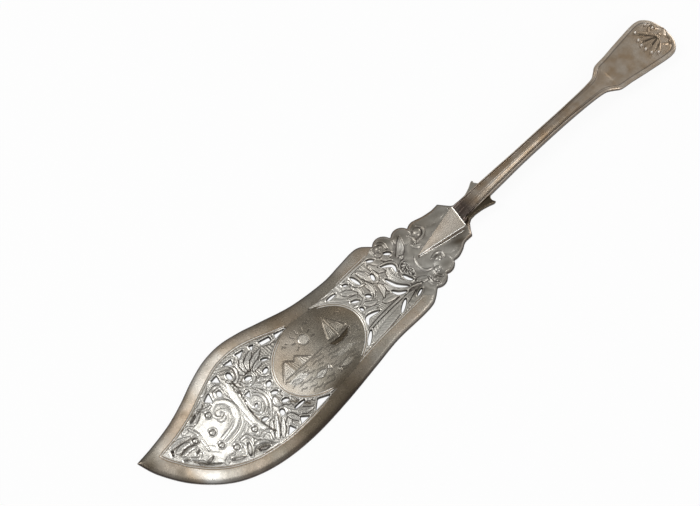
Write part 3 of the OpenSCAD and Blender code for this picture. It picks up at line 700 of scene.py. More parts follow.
# Leaves: curve, width, height and, where there are any, vein spacing and lobes
TIP_LEAVES = [
    ([(-123.4, 10.8), (-124.2, 14.6), (-122, 18.4)], 2.8, 0.7, 0, 2),
    ([(-122.2, 11), (-121, 15), (-117.8, 18.6)], 3, 0.75, 0, 3),
    ([(-121, 10.8), (-118.4, 14.4), (-113.8, 17.2)], 3.2, 0.75, 0, 3),
    ([(-120, 10), (-116.2, 12.8), (-110.6, 14.9)], 3, 0.7, 0, 3),
    ([(-119.8, 9.2), (-115.6, 10.6), (-111, 10.2)], 2.6, 0.65, 0, 2),
    ([(-109, 15.6), (-104.6, 14.6), (-100.6, 14.2)], 2.6, 0.6, 0, 3),
    ([(-133, -20.4), (-129.4, -15.6), (-125.6, -11)], 2.4, 0.6),
    ([(-130.8, -21), (-127, -17), (-124.6, -13.6)], 2, 0.6),
    ([(-135.2, -19), (-131.4, -14.6), (-128.4, -11)], 2, 0.6),
    ([(-126.6, -21), (-124.8, -18.2), (-121.6, -15.6)], 2.8, 0.7, 0, 3),
    ([(-122.4, -10.4), (-120.4, -14), (-116.4, -18.6), (-112.4, -20.4)], 4.4, 0.7, 1.6, 4),
    ([(-122.8, -15), (-121.4, -18), (-120.6, -21)], 2.4, 0.6),
    ([(-114.4, -10.6), (-113, -14), (-109.4, -17.6)], 3.4, 0.7, 1.6, 3),
    ([(-110.4, -17.6), (-106.6, -19), (-101.4, -20.4)], 2.6, 0.6, 0, 3),
    ([(-117.6, -5.6), (-117.2, -8), (-114.6, -10.6)], 2.6, 0.6, 0, 2),
    ([(-121.4, 4.8), (-118.4, 3.8), (-116.2, 2)], 2.4, 0.6),
    ([(-124.6, 5.2), (-122.6, 2.6), (-121.4, -0.6)], 2.6, 0.6, 0, 2),
    ([(-121.6, -5.4), (-122.6, -8.4), (-121.2, -10.6)], 2.4, 0.6),
    ([(-168.4, 8.2), (-164, 7.8), (-158.6, 6)], 2.2, 0.5),
    ([(-167.6, 4.4), (-163.6, 5), (-160, 3.8)], 2, 0.5),
    ([(-166.6, 1.8), (-163, 2.4), (-159.4, 1.2)], 2, 0.5),
    ([(-160.4, 8.9), (-157.4, 9.6), (-154.4, 8.6)], 2, 0.5),
    ([(-156.4, 11.4), (-153.4, 9.6), (-148.6, 11.2)], 1.8, 0.5),
    ([(-163.4, -4.2), (-160.4, -9.8), (-156.2, -12.6)], 2.4, 0.5),
    ([(-144.8, 17), (-141.4, 17.4), (-137.4, 19.4)], 2.2, 0.5),
    ([(-150.2, 12.6), (-147.2, 13), (-144.8, 14.6)], 2, 0.5),
    ([(-141.2, -20), (-137.4, -20.4), (-133.6, -21.6)], 1.8, 0.5),
    ([(-156, -13.4), (-153.4, -12.2), (-150, -12.2)], 1.8, 0.5),
]
# Scrolls: curve, widths, height, and True for a soft one
TIP_SCROLLS = [
    ([(-130.8, 13), (-132.2, 8.6), (-133.4, 4.6), (-134.4, 0.4), (-134.8, -4.6), (-134.9, -8.8), (-133.6, -13.2),
      (-133.4, -18)], (2.4, 4.4, 1.6), 0.55, True),
    ([(-150.6, -5.2), (-147, -4.6), (-142.4, -3.6), (-138.4, -1), (-136.8, 3.2), (-137.9, 7.6), (-141, 9.8),
      (-144.4, 8.6), (-145.4, 5.6), (-143.8, 3.4), (-142, 4.4)], (1, 3.2, 1.2), 0.6, True),
    ([(-150, -1.8), (-146.8, -1.4), (-143, -0.6), (-140.4, 1.4), (-139.8, 4), (-141, 6)], (0.6, 1.6, 0.8), 0.5, True),
    ([(-150.2, -7.4), (-146, -7), (-141.4, -6), (-137.8, -3.6), (-136.2, 0)], (0.7, 1.7, 0.6), 0.5, True),
    ([(-149, -9.6), (-144.6, -9.4), (-140.4, -8.4), (-137, -5.6)], (0.6, 1.5, 0.6), 0.45, True),
    ([(-124.2, 2.4), (-123.2, -1.6), (-124, -5.6), (-126.6, -8.8), (-129.6, -10)], (0.6, 1.2, 0.6), 0.65),
    ([(-127.6, 2.2), (-125.4, 0.4), (-124.9, -2.6), (-126, -5.8), (-128.6, -7.6)], (0.6, 1.1, 0.6), 0.65),
    ([(-131.4, 1.4), (-132.2, -2.4), (-131, -6), (-128.6, -6), (-126.6, -3.8)], (0.6, 1.1, 0.6), 0.6),
    ([(-125.6, 19), (-124.9, 15.4), (-126.4, 12), (-129, 11.2), (-131, 13.6)], (0.6, 1.2, 0.6), 0.7),
    ([(-127.4, 10), (-126.4, 6.6), (-123.6, 5.8), (-120.8, 7.2), (-120.6, 9.6)], (0.6, 1.2, 0.6), 0.7),
    ([(-118.6, 8.4), (-118.4, 5.4), (-116, 4), (-113.6, 5)], (0.6, 1.1, 0.6), 0.65),
    ([(-130.4, 9.6), (-129.4, 6.8), (-126.8, 5.6)], (0.7, 1.5, 0.7), 0.65),
    ([(-139.6, -12.4), (-138, -14.6), (-135, -14), (-132.8, -15.6), (-134, -18.8)], (0.7, 1.3, 0.6), 0.7),
    ([(-145.4, -18.2), (-143, -16), (-140.4, -15.4), (-138, -16.6), (-136.2, -19)], (0.6, 1.3, 0.6), 0.7),
    ([(-144.6, -9.6), (-141.6, -9.8), (-140.8, -12.6), (-142, -14.8)], (0.6, 1.2, 0.6), 0.65),
    ([(-145.4, -10.8), (-145.4, -13.6), (-147.6, -17)], (0.6, 1.1, 0.5), 0.6),
    ([(-164.6, -1.2), (-162.6, -3.4), (-160.4, -2.8), (-160.6, -1.6)], (0.6, 1.1, 0.6), 0.6),
    ([(-156.8, 9), (-155.6, 4.6), (-156.2, 0.6), (-156.8, -3.6)], (0.6, 1.1, 0.6), 0.5),
    ([(-148.4, 12.6), (-146.4, 10.8), (-143.4, 10.4)], (0.5, 1.1, 0.5), 0.5),
    ([(-140, 12.8), (-138.6, 15), (-135.6, 15), (-134.8, 12.4)], (0.6, 1.2, 0.6), 0.7),
    ([(-128.2, 5.2), (-126.2, 3.6), (-124.8, 1.6)], (0.5, 1.2, 0.5), 0.6),
    ([(-130.8, -10.9), (-128.6, -11), (-126.8, -9.4)], (0.5, 1.2, 0.5), 0.6),
]
# Engraved lines: curve, width, depth
TIP_GROOVES = [
    ([(-130.2, 15.4), (-131, 10.3), (-131.4, 7.9), (-130.5, 5.5), (-131.2, 2), (-132.6, -1.8), (-133, -5.8),
      (-133.2, -9.7)], 1.2, 0.6),
    ([(-134.4, 14), (-135.2, 9.8), (-134.9, 5.2), (-135.2, 0.4), (-135.5, -4.4), (-135.6, -8)], 0.5, 0.25),
    ([(-145.8, 4.2), (-145, 1.8), (-142.6, 1.6), (-141.2, 3.4), (-142, 5.4), (-143.2, 4.8)], 0.5, 0.25),
    ([(-151.4, -3.4), (-147.4, -2.8), (-143, -2), (-139.6, 0.4), (-138.4, 3.6), (-139.2, 6.6)], 0.45, 0.2),
    ([(-150.6, -6.3), (-146.4, -5.8), (-141.6, -4.6), (-137.8, -2)], 0.45, 0.2),
    ([(-149.6, -8.5), (-145, -8.2), (-140.6, -7.2), (-137.2, -4.8)], 0.4, 0.18),
    ([(-158.4, -1), (-154.8, -3), (-153.4, -6)], 0.35, 0.12),
    ([(-160, 0.6), (-156.6, -5), (-153.4, -8.4)], 0.35, 0.12),
]
# Brown lines and shadows: curve, width, share
TIP_SHADOWS = [
    ([(-129.7, 12.1), (-130, 6.4), (-131.4, 3.9), (-132.2, -1.2), (-132.8, -7.1), (-132.5, -12.2),
      (-131.3, -17.1)], 1, 0.95),
    ([(-134.4, 14), (-135.2, 9.8), (-134.9, 5.2), (-135.2, 0.4), (-135.5, -4.4)], 0.6, 0.6),
    ([(-141.5, 2.2), (-142.6, -0.4), (-145, -1.6), (-148.4, -2.4)], 2, 0.45),
    ([(-139.7, 9.6), (-136.2, 7.4), (-135.6, 2.4), (-137.6, -2.4), (-141.8, -5.6), (-147, -6.6)], 0.6, 0.7),
    ([(-141, 6.3), (-143.6, 6.9), (-144.6, 5), (-143, 3.2), (-141.2, 4)], 0.6, 0.8),
    ([(-168.6, 6.6), (-163, 6.4), (-158, 4.6)], 1.4, 0.8), ([(-167, 2.8), (-162, 3), (-157.6, 1.4)], 1.2, 0.8),
    ([(-164.6, -3.4), (-161.4, -8), (-157.4, -11.4)], 1.4, 0.8),
    ([(-152, 12.4), (-147.6, 11.8), (-144, 13.6)], 1.2, 0.7),
    ([(-145, -17.6), (-140, -17.8), (-136, -19.6)], 2.4, 0.6),
    ([(-131.4, -19.6), (-128, -15.4), (-125.4, -12)], 1, 0.5),
    ([(-137.4, 11.4), (-136.4, 6), (-137, 1)], 0.5, 0.35),
    ([(-118, -11.6), (-115.6, -14), (-112.6, -18)], 1.2, 0.4),
    ([(-128.4, 8.6), (-124.6, 10.2), (-119.4, 10.8)], 1, 0.5),
    ([(-122.6, -1), (-120.6, -6), (-121.6, -11)], 1, 0.5),
]
EYELETS = [
    (-146.8, 8, 1.85), (-150.7, 1.1, 1.85), (-151.7, -5.7, 1.75), (-147.7, -10.7, 1.85), (-137, -10.1, 1.85),
    (-158.2, 3.4, 1.7),
]
HEEL_LEAVES = [
    ([(-75.4, -16.8), (-66, -14), (-56, -12.8), (-43, -11.8)], 6.2, 0.6, 1.7, 0),
    ([(-57.8, -6.6), (-54, -7), (-49.4, -9.2)], 3.4, 0.7),
    ([(-45.2, 4.4), (-46.6, 0), (-45, -5.4), (-41.6, -8.8)], 2.6, 0.6, 1, 0),
    ([(-51.6, -0.6), (-51, -4.6), (-47.6, -9.4)], 2.2, 0.6, 1, 0),
    ([(-41.8, 0.4), (-40.4, -3.6), (-39.6, -8.4)], 1.8, 0.5, 0.9, 0),
    ([(-50.4, 10.6), (-49.4, 7), (-46.6, 3.6)], 3.2, 0.7, 1, 3),
    ([(-56.4, 12), (-55, 8), (-54.8, 3)], 3.4, 0.7, 1, 3),
    ([(-57.4, 6.4), (-56.8, 2), (-58.6, -2.6)], 3, 0.6, 1, 3),
    ([(-62.6, 8.8), (-61.6, 5), (-62.4, 1.4)], 3, 0.6, 1, 3),
    ([(-68.4, 9), (-65.4, 7), (-62.8, 4.4)], 3, 0.6, 1, 3),
    ([(-67.8, 5.2), (-66.6, 4), (-63.4, 3.6)], 2, 0.5, 0.9, 0),
    ([(-64.4, -1), (-62.4, -3), (-59, -4.4)], 2.4, 0.6, 0.9, 0),
    ([(-67.6, -4.4), (-64, -5.2), (-60, -6.2)], 2.4, 0.6, 0.9, 0),
    ([(-69.6, 12.8), (-73, 13.6), (-78.6, 13.8)], 1.8, 0.5, 0.9, 0),
    ([(-43.6, 9.6), (-42.2, 7.4), (-40.4, 5)], 3, 0.7, 0.9, 2),
    ([(-44.4, 12.4), (-43.2, 10.8), (-41.6, 10)], 2, 0.5, 0.9, 0),
    ([(-53.4, 1.4), (-53.6, -2), (-55.8, -5.4)], 2.6, 0.6, 0.9, 2),
    ([(-38.2, 4.6), (-35, 5.8), (-32.6, 8.6), (-30.6, 11)], 3.4, 0.8),
    ([(-26.2, 1.6), (-28.4, 2.6), (-29.6, 4.8)], 2, 0.5, 0.8, 0),
    ([(-40.4, -9.6), (-37.4, -10.8), (-34.6, -12.8)], 3, 0.6),
]
HEEL_SCROLLS = [
    ([(-72.6, -12), (-66, -10.9), (-57, -10.4), (-50, -10.3), (-44, -9.9), (-39.4, -11.6)], (0.8, 1.2, 0.8), 0.8),
    ([(-64.8, 13), (-58, 13.3), (-52, 13.4), (-49.4, 13)], (0.8, 1, 0.6), 0.6),
    ([(-61.8, 11.6), (-60.8, 7), (-57.6, 5.4)], (0.6, 1.1, 0.6), 0.6),
    ([(-54.8, 4), (-52.6, 2.4), (-50.6, 4.2), (-50.8, 7.4)], (0.6, 1.1, 0.6), 0.6),
    ([(-47.4, 6.8), (-44.8, 6.4), (-41.6, 4.6), (-41.4, 1.6)], (0.6, 1.1, 0.6), 0.6),
    ([(-68.6, 0.6), (-66.4, 0.2), (-63.4, 1.2)], (0.6, 1, 0.6), 0.5),
    ([(-62.6, -0.6), (-60.6, -1.6), (-58.6, -0.8)], (0.5, 1, 0.5), 0.5),
    ([(-33.2, -0.8), (-34.4, -4.4), (-34, -8.2), (-31, -9.9)], (0.7, 1.2, 0.7), 0.6),
    ([(-28.4, 4.2), (-25.4, 4.2), (-22, 4.4), (-20, 7), (-21.2, 9.6)], (0.7, 1.2, 0.6), 0.5),
    ([(-27.2, 8.6), (-26.6, 6), (-27.6, 3.6)], (0.6, 1.1, 0.6), 0.5),
    ([(-23, -9.6), (-22.4, -7.2), (-24.6, -5.8), (-27.8, -6.4)], (0.6, 1, 0.6), 0.5),
    ([(-43.6, 15.2), (-40.6, 15.6), (-38.4, 13.6), (-38.6, 11)], (0.6, 1.1, 0.6), 0.5),
    ([(-35, -12), (-35.4, -15), (-33.6, -16.8)], (0.6, 1, 0.6), 0.5),
    ([(-31.2, -10.9), (-31.6, -13.4), (-30.4, -15.4)], (0.6, 1, 0.6), 0.5),
]
# Browner spots, and brighter ones of painted highlight where the share is below zero: x, y, reach, share
TONES = [
    (-126.4, -0.6, 6, -1.2), (-113, 10, 6, -0.1), (-130.6, 18.4, 3, 0.35), (-134, 16.4, 2.4, 0.2),
    (-116, -16, 5, 0.2), (-117, 12, 5, 0.1), (-152, 10, 4, 0.25), (-165, 1, 5, 0.3), (-141, -18.6, 4, 0.35),
    (-163, -9, 4, 0.35), (-153, -14, 3.4, 0.3), (-128, 16, 3.6, 0.3), (-139, 15.6, 3, 0.3), (-38.6, 14.6, 3.4, 0.4),
    (-30.6, 12.6, 3.2, 0.4), (-32.6, -16.2, 3.6, 0.4), (-26, -14.4, 3.2, 0.4), (-60, -13.6, 7, 0.2),
    (-46, -13, 5, 0.2), (-16, 6, 4, 0.1), (-12, -8.6, 5.5, 0.55), (-22.6, 10.8, 2.6, 0.3), (-33.6, 7, 2, -0.6),
    (-27.4, 1.8, 1.8, -0.35), (-27.4, -9.4, 1.8, -0.2), (-43, -11.6, 5, 0.25), (-12, 0, 9, 0.1),
    (-11, 7.2, 3.6, 0.1), (-62, 4, 9, -0.15),
]
HEEL_BEADS = [
    (-23.1, 7.3, 1.9), (-41.3, 13.3, 1.4), (-36.9, 3.3, 1.1), (-25.5, -8.4, 1.4), (-29.4, -11.8, 1.5),
    (-33.3, -14.8, 1.4),
]
ROSETTE_AT = (-37.7, -2.7)


def blade_relief(high):
    """The raised work of both fields and of the heel, with heights multiplied by high."""
    relief = Relief((-176, -31), (-2, 30))
    x, y = relief.points[..., 0], relief.points[..., 1]
    # The fields' ground is ruled with wavy lines, and the heel's is rippled
    field = x < -44
    flow = x * 0.8 + y * 0.6 + 2.2 * np.sin(x * 0.23 + 1) + 2.2 * np.sin(y * 0.27)
    spacing = 1.25
    ripple = np.cos(TURN * flow / spacing)
    relief.z = np.where(field, 0.34 + np.where(x < -100, 0.03, 0.08) * ripple, 0.06)
    relief.dome(-148.4, -0.6, 23, 27, 0, 0.3, 0.3)
    heel = np.clip((x + 46) / 6, 0, 1)
    relief.z += heel * 0.06 * np.sin(x * 1.1 + 1.3 * np.sin(y * 0.7)) * np.sin(y * 0.9 + 1.7 * np.sin(x * 0.5))
    # Along the blade the fields are brighter toward the point and browner toward the medallion, painted highlight and
    # painted shade for how the light falls off; the heel field is brighter again
    stations = (-150, -132, -120, -100, -99, -48, -42, 0)
    relief.tone = np.interp(x, stations, (-0.1, -0.08, 0.1, 0.25, -0.35, -0.25, 0, 0))
    relief.tone += heel * (0.12 + 0.12 * np.sin(x * 0.6 + y) * np.sin(y * 0.5 - 1))
    for spot in TONES:
        relief.spot(*spot)
    for shadow in TIP_SHADOWS:
        relief.stroke(*shadow)
    for lobe in LOBES:
        relief.dome(*lobe, 8.6, 8.6, 0, 0.4, 0.05)
    relief.dome(-13, 7.6, 16, 5.6, -4, 0.12, 0.05)
    relief.dome(-13, -8.2, 16, 5, 6, 0.12, 0.05)
    for leaf in TIP_LEAVES + HEEL_LEAVES:
        relief.leaf(*leaf)
    for scroll in TIP_SCROLLS + HEEL_SCROLLS:
        relief.scroll(*scroll)
    for groove in TIP_GROOVES:
        relief.groove(*groove)
    rx, ry = ROSETTE_AT
    for i in range(7):
        a = math.radians(95 + i * 170 / 6)
        tip = polar(rx, ry, 4.1, a)
        relief.leaf([(rx, ry), ((rx + tip[0]) / 2, (ry + tip[1]) / 2), tip], 1.7, 0.6)
    for r in (1.3, 4.4):
        arc = [polar(rx, ry, r, math.radians(a)) for a in range(80, 290, 30)]
        relief.scroll(arc, (0.6, 0.8, 0.6), 0.6)
    for bead in HEEL_BEADS:
        relief.bead(*bead)
    for eyelet in EYELETS:
        relief.eyelet(*eyelet)
    for loop in HOLES:
        relief.lip(loop)
    for loop in PITS:
        relief.pit(loop)
    # The ground between the raised shapes is browned, the more the lower it lies
    ground = np.interp(x, (-136, -128, -98, -90, -46, -44), (0, 0.36, 0.36, 0.15, 0.15, 0))
    relief.tone += ground * np.clip((0.55 - relief.z) / 0.25, 0, 1)
    relief.z *= high
    return relief


def medallion_relief():
    """A small engraved harbour: hills and a low sun, a boat on ruled water, two fish below."""
    cx, cy = MEDAL_AT
    relief = Relief((cx - 26, cy - 20), (cx + 26, cy + 20))
    p = relief.points - (cx, cy)
    u, v = p[..., 0] / MEDAL_SEMI[0], p[..., 1] / MEDAL_SEMI[1]
    relief.z = 0.14 * np.sqrt(np.clip(1 - (u ** 2 + v ** 2), 0, 1))

    def placed(points):
        return [(cx + a, cy + b) for a, b in points]

    def engrave(points, width=0.6, depth=0.22):
        relief.groove(placed(points), width, depth)

    def hatch(a, b, c, d, lines, tone=-0.4):
        """A four-sided patch of close lines from side ab to side dc, lighter than what is round it."""
        relief.patch(placed([a, b, c, d]), tone)
        for i in range(1, lines):
            f = i / lines
            one = (a[0] + (d[0] - a[0]) * f, a[1] + (d[1] - a[1]) * f)
            two = (b[0] + (c[0] - b[0]) * f, b[1] + (c[1] - b[1]) * f)
            engrave([one, two], 0.3, 0.08)

    # Water
    for i in range(8):
        y = -1.4 - 1.75 * i
        reach = MEDAL_SEMI[0] * math.sqrt(max(0, 1 - (y / MEDAL_SEMI[1]) ** 2)) - 3
        start, k = -reach + (i % 2) * 1.6, 0
        while start < reach - 2:
            end = min(start + 3.4 + 1.6 * ((i * 5 + k * 3) % 4), reach)
            third = (end - start) / 3
            engrave([(start, y), (start + third, y + 0.45), (end - third, y - 0.3), (end, y)], 0.5, 0.16)
            start, k = end + 1.6, k + 1
    hatch((-20, -2), (-13, -2), (-10.6, -5), (-18.6, -5), 4)
    hatch((3, -6.2), (11, -6.2), (14, -8.6), (5, -8.6), 4)
    # Hills
    hatch((-20.4, 0), (-16.4, 4.6), (-14.6, 6.4), (-14, 0), 7, -0.3)
    hatch((-14, 0), (-14.4, 6.2), (-11.4, 4.2), (-9.6, 0), 4, 0.25)
    hatch((-9.6, 0), (-9.2, 5), (-6.4, 2.6), (-3.4, 0), 4, -0.3)
    engrave([(-21, 0), (-17.6, 4), (-14.6, 6.6), (-11.4, 4.2), (-9.4, 5.4), (-6.4, 2.6), (-3, 0)], 0.8, 0.3)
    engrave([(-21.4, 0), (-10, -0.2), (4.6, 0)], 0.5, 0.2)
    # Sun
    disc = [polar(-1.6, 8.4, 2.4, t / 8 * math.pi) for t in range(17)]
    relief.patch(placed(disc), -0.6)
    engrave(disc)
    for i in range(7):
        a = math.radians(200 - i * 36)
        engrave([polar(-1.6, 8.4, r, a) for r in (3.4, 5.8)], 0.5)
    # Boat
    relief.patch(placed([(5, -0.9), (6.4, -3), (10.2, -3.6), (14, -2.8), (16.4, -0.6), (10.4, -1.4)]), 0.6)
    hatch((11.3, 0.5), (11.3, 9.8), (13.6, 6), (15.8, 0.9), 7, -0.3)
    hatch((6.4, 0.7), (9.9, 8.8), (10.1, 5), (10.1, 0.5), 4, -0.4)
    engrave([(4.6, -0.7), (6.4, -3), (10.2, -3.7), (14, -2.9), (16.8, -0.5), (10.4, -1.4), (4.6, -0.7)], 0.7, 0.3)
    engrave([(10.6, -1.4), (10.7, 11)], 0.55, 0.28)
    engrave([(11.2, 10.4), (14, 5.6), (16.2, 0.7), (11.2, 0.3)], 0.6, 0.25)
    engrave([(10.1, 9.4), (7.8, 5), (6, 0.5), (10.1, 0.3)], 0.6, 0.25)
    # Gulls and fish
    for bx, by in ((-9.6, 11), (4.6, 13), (17.6, 7)):
        wings = [(-1.8, 0.6), (-0.8, 1), (0, 0), (0.9, 1), (1.8, 0.5)]
        engrave([(bx + a, by + b) for a, b in wings], 0.5, 0.24)
    for fx, fy, way in ((-6.4, -8.4, 1), (4.6, -12, -1)):
        back, belly = [(-3.6, 0), (-1.4, 1.4), (1.2, 1.1), (3, 0)], [(3, 0), (1.2, -1.1), (-1.4, -1.4), (-3.6, 0)]
        body = [(fx + way * a, fy + b) for a, b in back + [(4.6, 1.2), (4.4, -1.2)] + belly]
        relief.patch(placed(body), -0.5)
        engrave(body, 0.55, 0.26)
    return relief


def medal_arc(grow, start, end, n=60):
    """An arc of the medallion's edge, between two angles in radians."""
    t = np.linspace(start, end, n)
    arc = np.c_[(MEDAL_SEMI[0] + grow) * np.cos(t), (MEDAL_SEMI[1] + grow) * np.sin(t)]
    return on_medallion(arc)


def on_medallion(points):
    """Points given along the medallion's own axes, put in their place on the plan."""
    c, s = math.cos(MEDAL_TILT), math.sin(MEDAL_TILT)
    return np.asarray(points, float) @ np.array([[c, s], [-s, c]]) + MEDAL_AT


def from_medallion(points):
    """Points of the plan, given along the medallion's own axes."""
    c, s = math.cos(MEDAL_TILT), math.sin(MEDAL_TILT)
    return (np.asarray(points, float) - MEDAL_AT) @ np.array([[c, -s], [s, c]])


def beyond_medallion(points, grow=0.0):
    """Which points of the plan lie outside the medallion, grown by a distance."""
    rel = from_medallion(points) / (MEDAL_SEMI[0] + grow, MEDAL_SEMI[1] + grow)
    return (rel ** 2).sum(1) > 1


def medal_angle(point):
    """The angle at which a point of the plan is seen from the medallion, as medal_arc takes it."""
    x, y = from_medallion(point)
    return math.atan2(y / MEDAL_SEMI[1], x / MEDAL_SEMI[0])


def inset(loop, d):
    """A closed loop moved in by d, with what crosses itself dropped."""
    loop = turned(loop, True)
    moved = beside(np.vstack([loop[-1], loop, loop[0]]), d)[1:-1]
    return moved[nearest(moved, closed(loop))[0] > d * 0.97]


def tip_run(out):
    """The tip field's edge outside the medallion."""
    line = tip_line(out)
    return line[beyond_medallion(line, 0.1)]


def heel_run(out, margin):
    """The heel field's edge in two runs from the medallion to the neck, crest side and belly side."""
    upper, lower = heel_lines(out)
    upper = upper[beyond_medallion(upper, 0.1)]
    lower = lower[beyond_medallion(lower, 0.1)]
    # Past the threads' ends the field follows the server's own edge, up to the neck
    edge = inset(OUTLINE, margin)
    neck = -4.5
    runs = []
    for line, side, start in ((upper, 1, -43.6), (lower, -1, -40)):
        part = edge[(edge[:, 1] * side > 0) & (edge[:, 0] > start) & (edge[:, 0] < neck)]
        runs.append(np.vstack([line, part[np.argsort(part[:, 0])]]))
    return runs


def tip_field():
    """The outline of the tip openwork."""
    line = tip_run(0.3)
    low, high = medal_angle(line[-1]) % TURN, medal_angle(line[0]) % TURN
    return np.vstack([line, medal_arc(-0.3, low, high)[1:-1]])


def heel_field():
    """The outline of the heel openwork."""
    upper, lower = heel_run(0.3, 0.7)
    return np.vstack([upper, lower[::-1], medal_arc(-0.3, medal_angle(lower[0]), medal_angle(upper[0]))[1:-1]])


def inside_rim():
    """The edge of all that lies inside the rim: both fields and the medallion."""
    tip = tip_run(-0.1)
    upper, lower = heel_run(-0.1, 1.3)
    below = medal_arc(-1.4, medal_angle(tip[-1]) % TURN, medal_angle(lower[0]) % TURN, 40)
    above = medal_arc(-1.4, medal_angle(upper[0]), medal_angle(tip[0]), 40)
    return np.vstack([tip, below, lower, upper[::-1], above])


# ---- Finishes -----------------------------------------------------------------------------------------------------

def graph(owner):
    """Empties the owner's node tree. Returns what adds a node to it, given its settings and what goes into its
    sockets, and what links an output to a socket."""
    owner.use_nodes = True
    nodes, links = owner.node_tree.nodes, owner.node_tree.links
    nodes.clear()

    def node(kind, **values):
        made = nodes.new("ShaderNode" + kind)
        for key, value in values.items():
            if hasattr(made, key) and key not in made.inputs:
                setattr(made, key, value)
            elif isinstance(value, bpy.types.NodeSocket):
                links.new(value, made.inputs[key.replace("_", " ")])
            else:
                made.inputs[key.replace("_", " ")].default_value = value
        return made

    return node, links.new


def silver(name, tarnished=0.5, rough=0.3, patina_and_shade=1.0, grain=1.0, warm=0.5, clouds=42.0, base=None):
    """Old silver plate: bright metal under a cloudy brown film, darker in its hollows, with painted shade and painted
    highlight where its piece marks them.
    """
    colours = finish()
    material = bpy.data.materials.new(name)
    node, link = graph(material)

    def ranged(value, low, high, to_low=0.0, to_high=1.0):
        made = node("MapRange", Value=value, From_Min=low, From_Max=high, To_Min=to_low, To_Max=to_high)
        return made.outputs["Result"]

    def mixed(share, under, over):
        sides = [side if isinstance(side, bpy.types.NodeSocket) else (*side, 1) for side in (under, over)]
        return node("Mix", data_type="RGBA", Factor=share, A=sides[0], B=sides[1]).outputs["Result"]

    def noise(where, scale, **values):
        return node("TexNoise", Vector=where, Scale=scale, **values).outputs["Fac"]

    def kept(attribute):
        return node("Attribute", attribute_name=attribute).outputs["Fac"]

    place = node("TexCoord").outputs["Object"]
    # The film is thicker and thinner in clouds, and grey or brown in wider ones
    cloud = noise(place, clouds, Detail=3.0, Roughness=0.5)
    film = ranged(cloud, 0.36, 0.66, max(0.0, tarnished - 0.2), max(0.0, min(1.0, tarnished + 0.2)))
    tint = noise(place, clouds * 0.55, Detail=3.0)
    hue = ranged(tint, 0.42, 0.58, max(0.0, warm - 0.4), min(1.0, warm * 1.6))
    metal = mixed(film, base or colours.bright, mixed(hue, colours.film, colours.film_warm))
    # The stain share browns the metal above zero, as tarnish and in places as painted shade, and brightens it below
    # zero, as rubbed metal and as painted highlight
    stain_and_painted_light = kept("stain_and_painted_light")
    stained_and_shaded = mixed(stain_and_painted_light, metal, colours.stain_and_painted_light)
    rubbed_and_sheen = mixed(ranged(stain_and_painted_light, 0.0, -1.0), stained_and_shaded, colours.bright)
    # The hollow and shade shares darken toward the patina colour: patina in the hollows, and painted shade on the
    # rim's edge, the handle's sides and neck and the tongue's steep side
    near = ranged(kept("hollow"), 0.08, 0.75, 0.0, min(1.0, 0.9 * patina_and_shade))
    wide = ranged(kept("shade"), 0.1, 0.9, 0.0, min(1.0, 0.55 * patina_and_shade))
    patina_and_shade_share = node("Math", operation="MAXIMUM")
    link(near, patina_and_shade_share.inputs[0])
    link(wide, patina_and_shade_share.inputs[1])
    aged_and_shaded = mixed(patina_and_shade_share.outputs["Value"], rubbed_and_sheen, colours.patina_and_shade)
    fine = noise(place, 520.0, Detail=4.0, Roughness=0.6)
    gloss = ranged(fine, 0.0, 1.0, max(0.05, rough - 0.1 * grain), rough + 0.14 * grain)
    # Long scratches and shallow dents
    along = node("Mapping", Vector=place, Scale=(260, 2600, 900), Rotation=(0, 0, 0.5)).outputs["Vector"]
    worn = node("Bump", Strength=0.05 * grain, Distance=0.0004, Height=noise(along, 1.0, Detail=3.0))
    dents = node(
        "Bump", Strength=0.22 * grain, Distance=0.0006, Height=noise(place, 150.0, Detail=2.0),
        Normal=worn.outputs["Normal"],
    )
    shader = node(
        "BsdfPrincipled", Metallic=1.0, Base_Color=aged_and_shaded, Roughness=gloss, Normal=dents.outputs["Normal"]
    )
    node("OutputMaterial", Surface=shader.outputs["BSDF"])
    return material


# ---- Sizes and finishes that can be set -----------------------------------------------------------------------

def size_property(name, description, default, low, high):
    """A size in millimetres, with its limits."""
    return bpy.props.FloatProperty(
        name=name, description=description, default=default * MM, min=low * MM, max=high * MM,
        subtype="DISTANCE", unit="LENGTH",
    )


def colour_property(name, description, default):
    return bpy.props.FloatVectorProperty(
        name=name, description=description, default=default, size=3, subtype="COLOR", min=0, max=1
    )


class ServerSizes(bpy.types.PropertyGroup):
    """Sizes of the server's surfaces."""

    plate: size_property("Plate", "Thickness of the blade's plate", 1.5, 1, 3)
    rim_grid: size_property("Rim grid", "Spacing of the points on the plain rim", 0.36, 0.2, 1)
    thread: size_property("Thread", "Radius of a raised thread line", 0.27, 0.1, 0.6)
    relief: bpy.props.FloatProperty(
        name="Relief", description="How strongly the chased work stands up", default=1.0, min=0.2, max=2,
        subtype="FACTOR",
    )
    grid: size_property("Grid", "Spacing of the points on chased surfaces", 0.18, 0.1, 1)


class ServerFinish(bpy.types.PropertyGroup):
    """Colours of the plated metal."""

    # Also the colour that painted highlights mix to
    bright: colour_property("Bright metal", "Colour of the rubbed silver", (0.86, 0.84, 0.79))
    film: colour_property("Film", "Colour of the grey-olive tarnish", (0.33, 0.305, 0.25))
    film_warm: colour_property("Warm film", "Colour of the brown tarnish", (0.46, 0.335, 0.22))
    # Also dims the lamp's highlight on the rim, as painted shade
    stain_and_painted_light: colour_property("Stain", "Colour of the thickest tarnish", (0.1, 0.08, 0.055))
    # Also the colour of the painted shade on the rim's edge, the handle's sides and neck and the tongue's steep side
    patina_and_shade: colour_property("Patina", "Colour that stays in the hollows", (0.05, 0.037, 0.036))
    floor: colour_property("Floor", "Colour of the floor", (0.9, 0.9, 0.9))


def sizes():
    return bpy.context.scene.fish_server_sizes


def finish():
    return bpy.context.scene.fish_server_finish


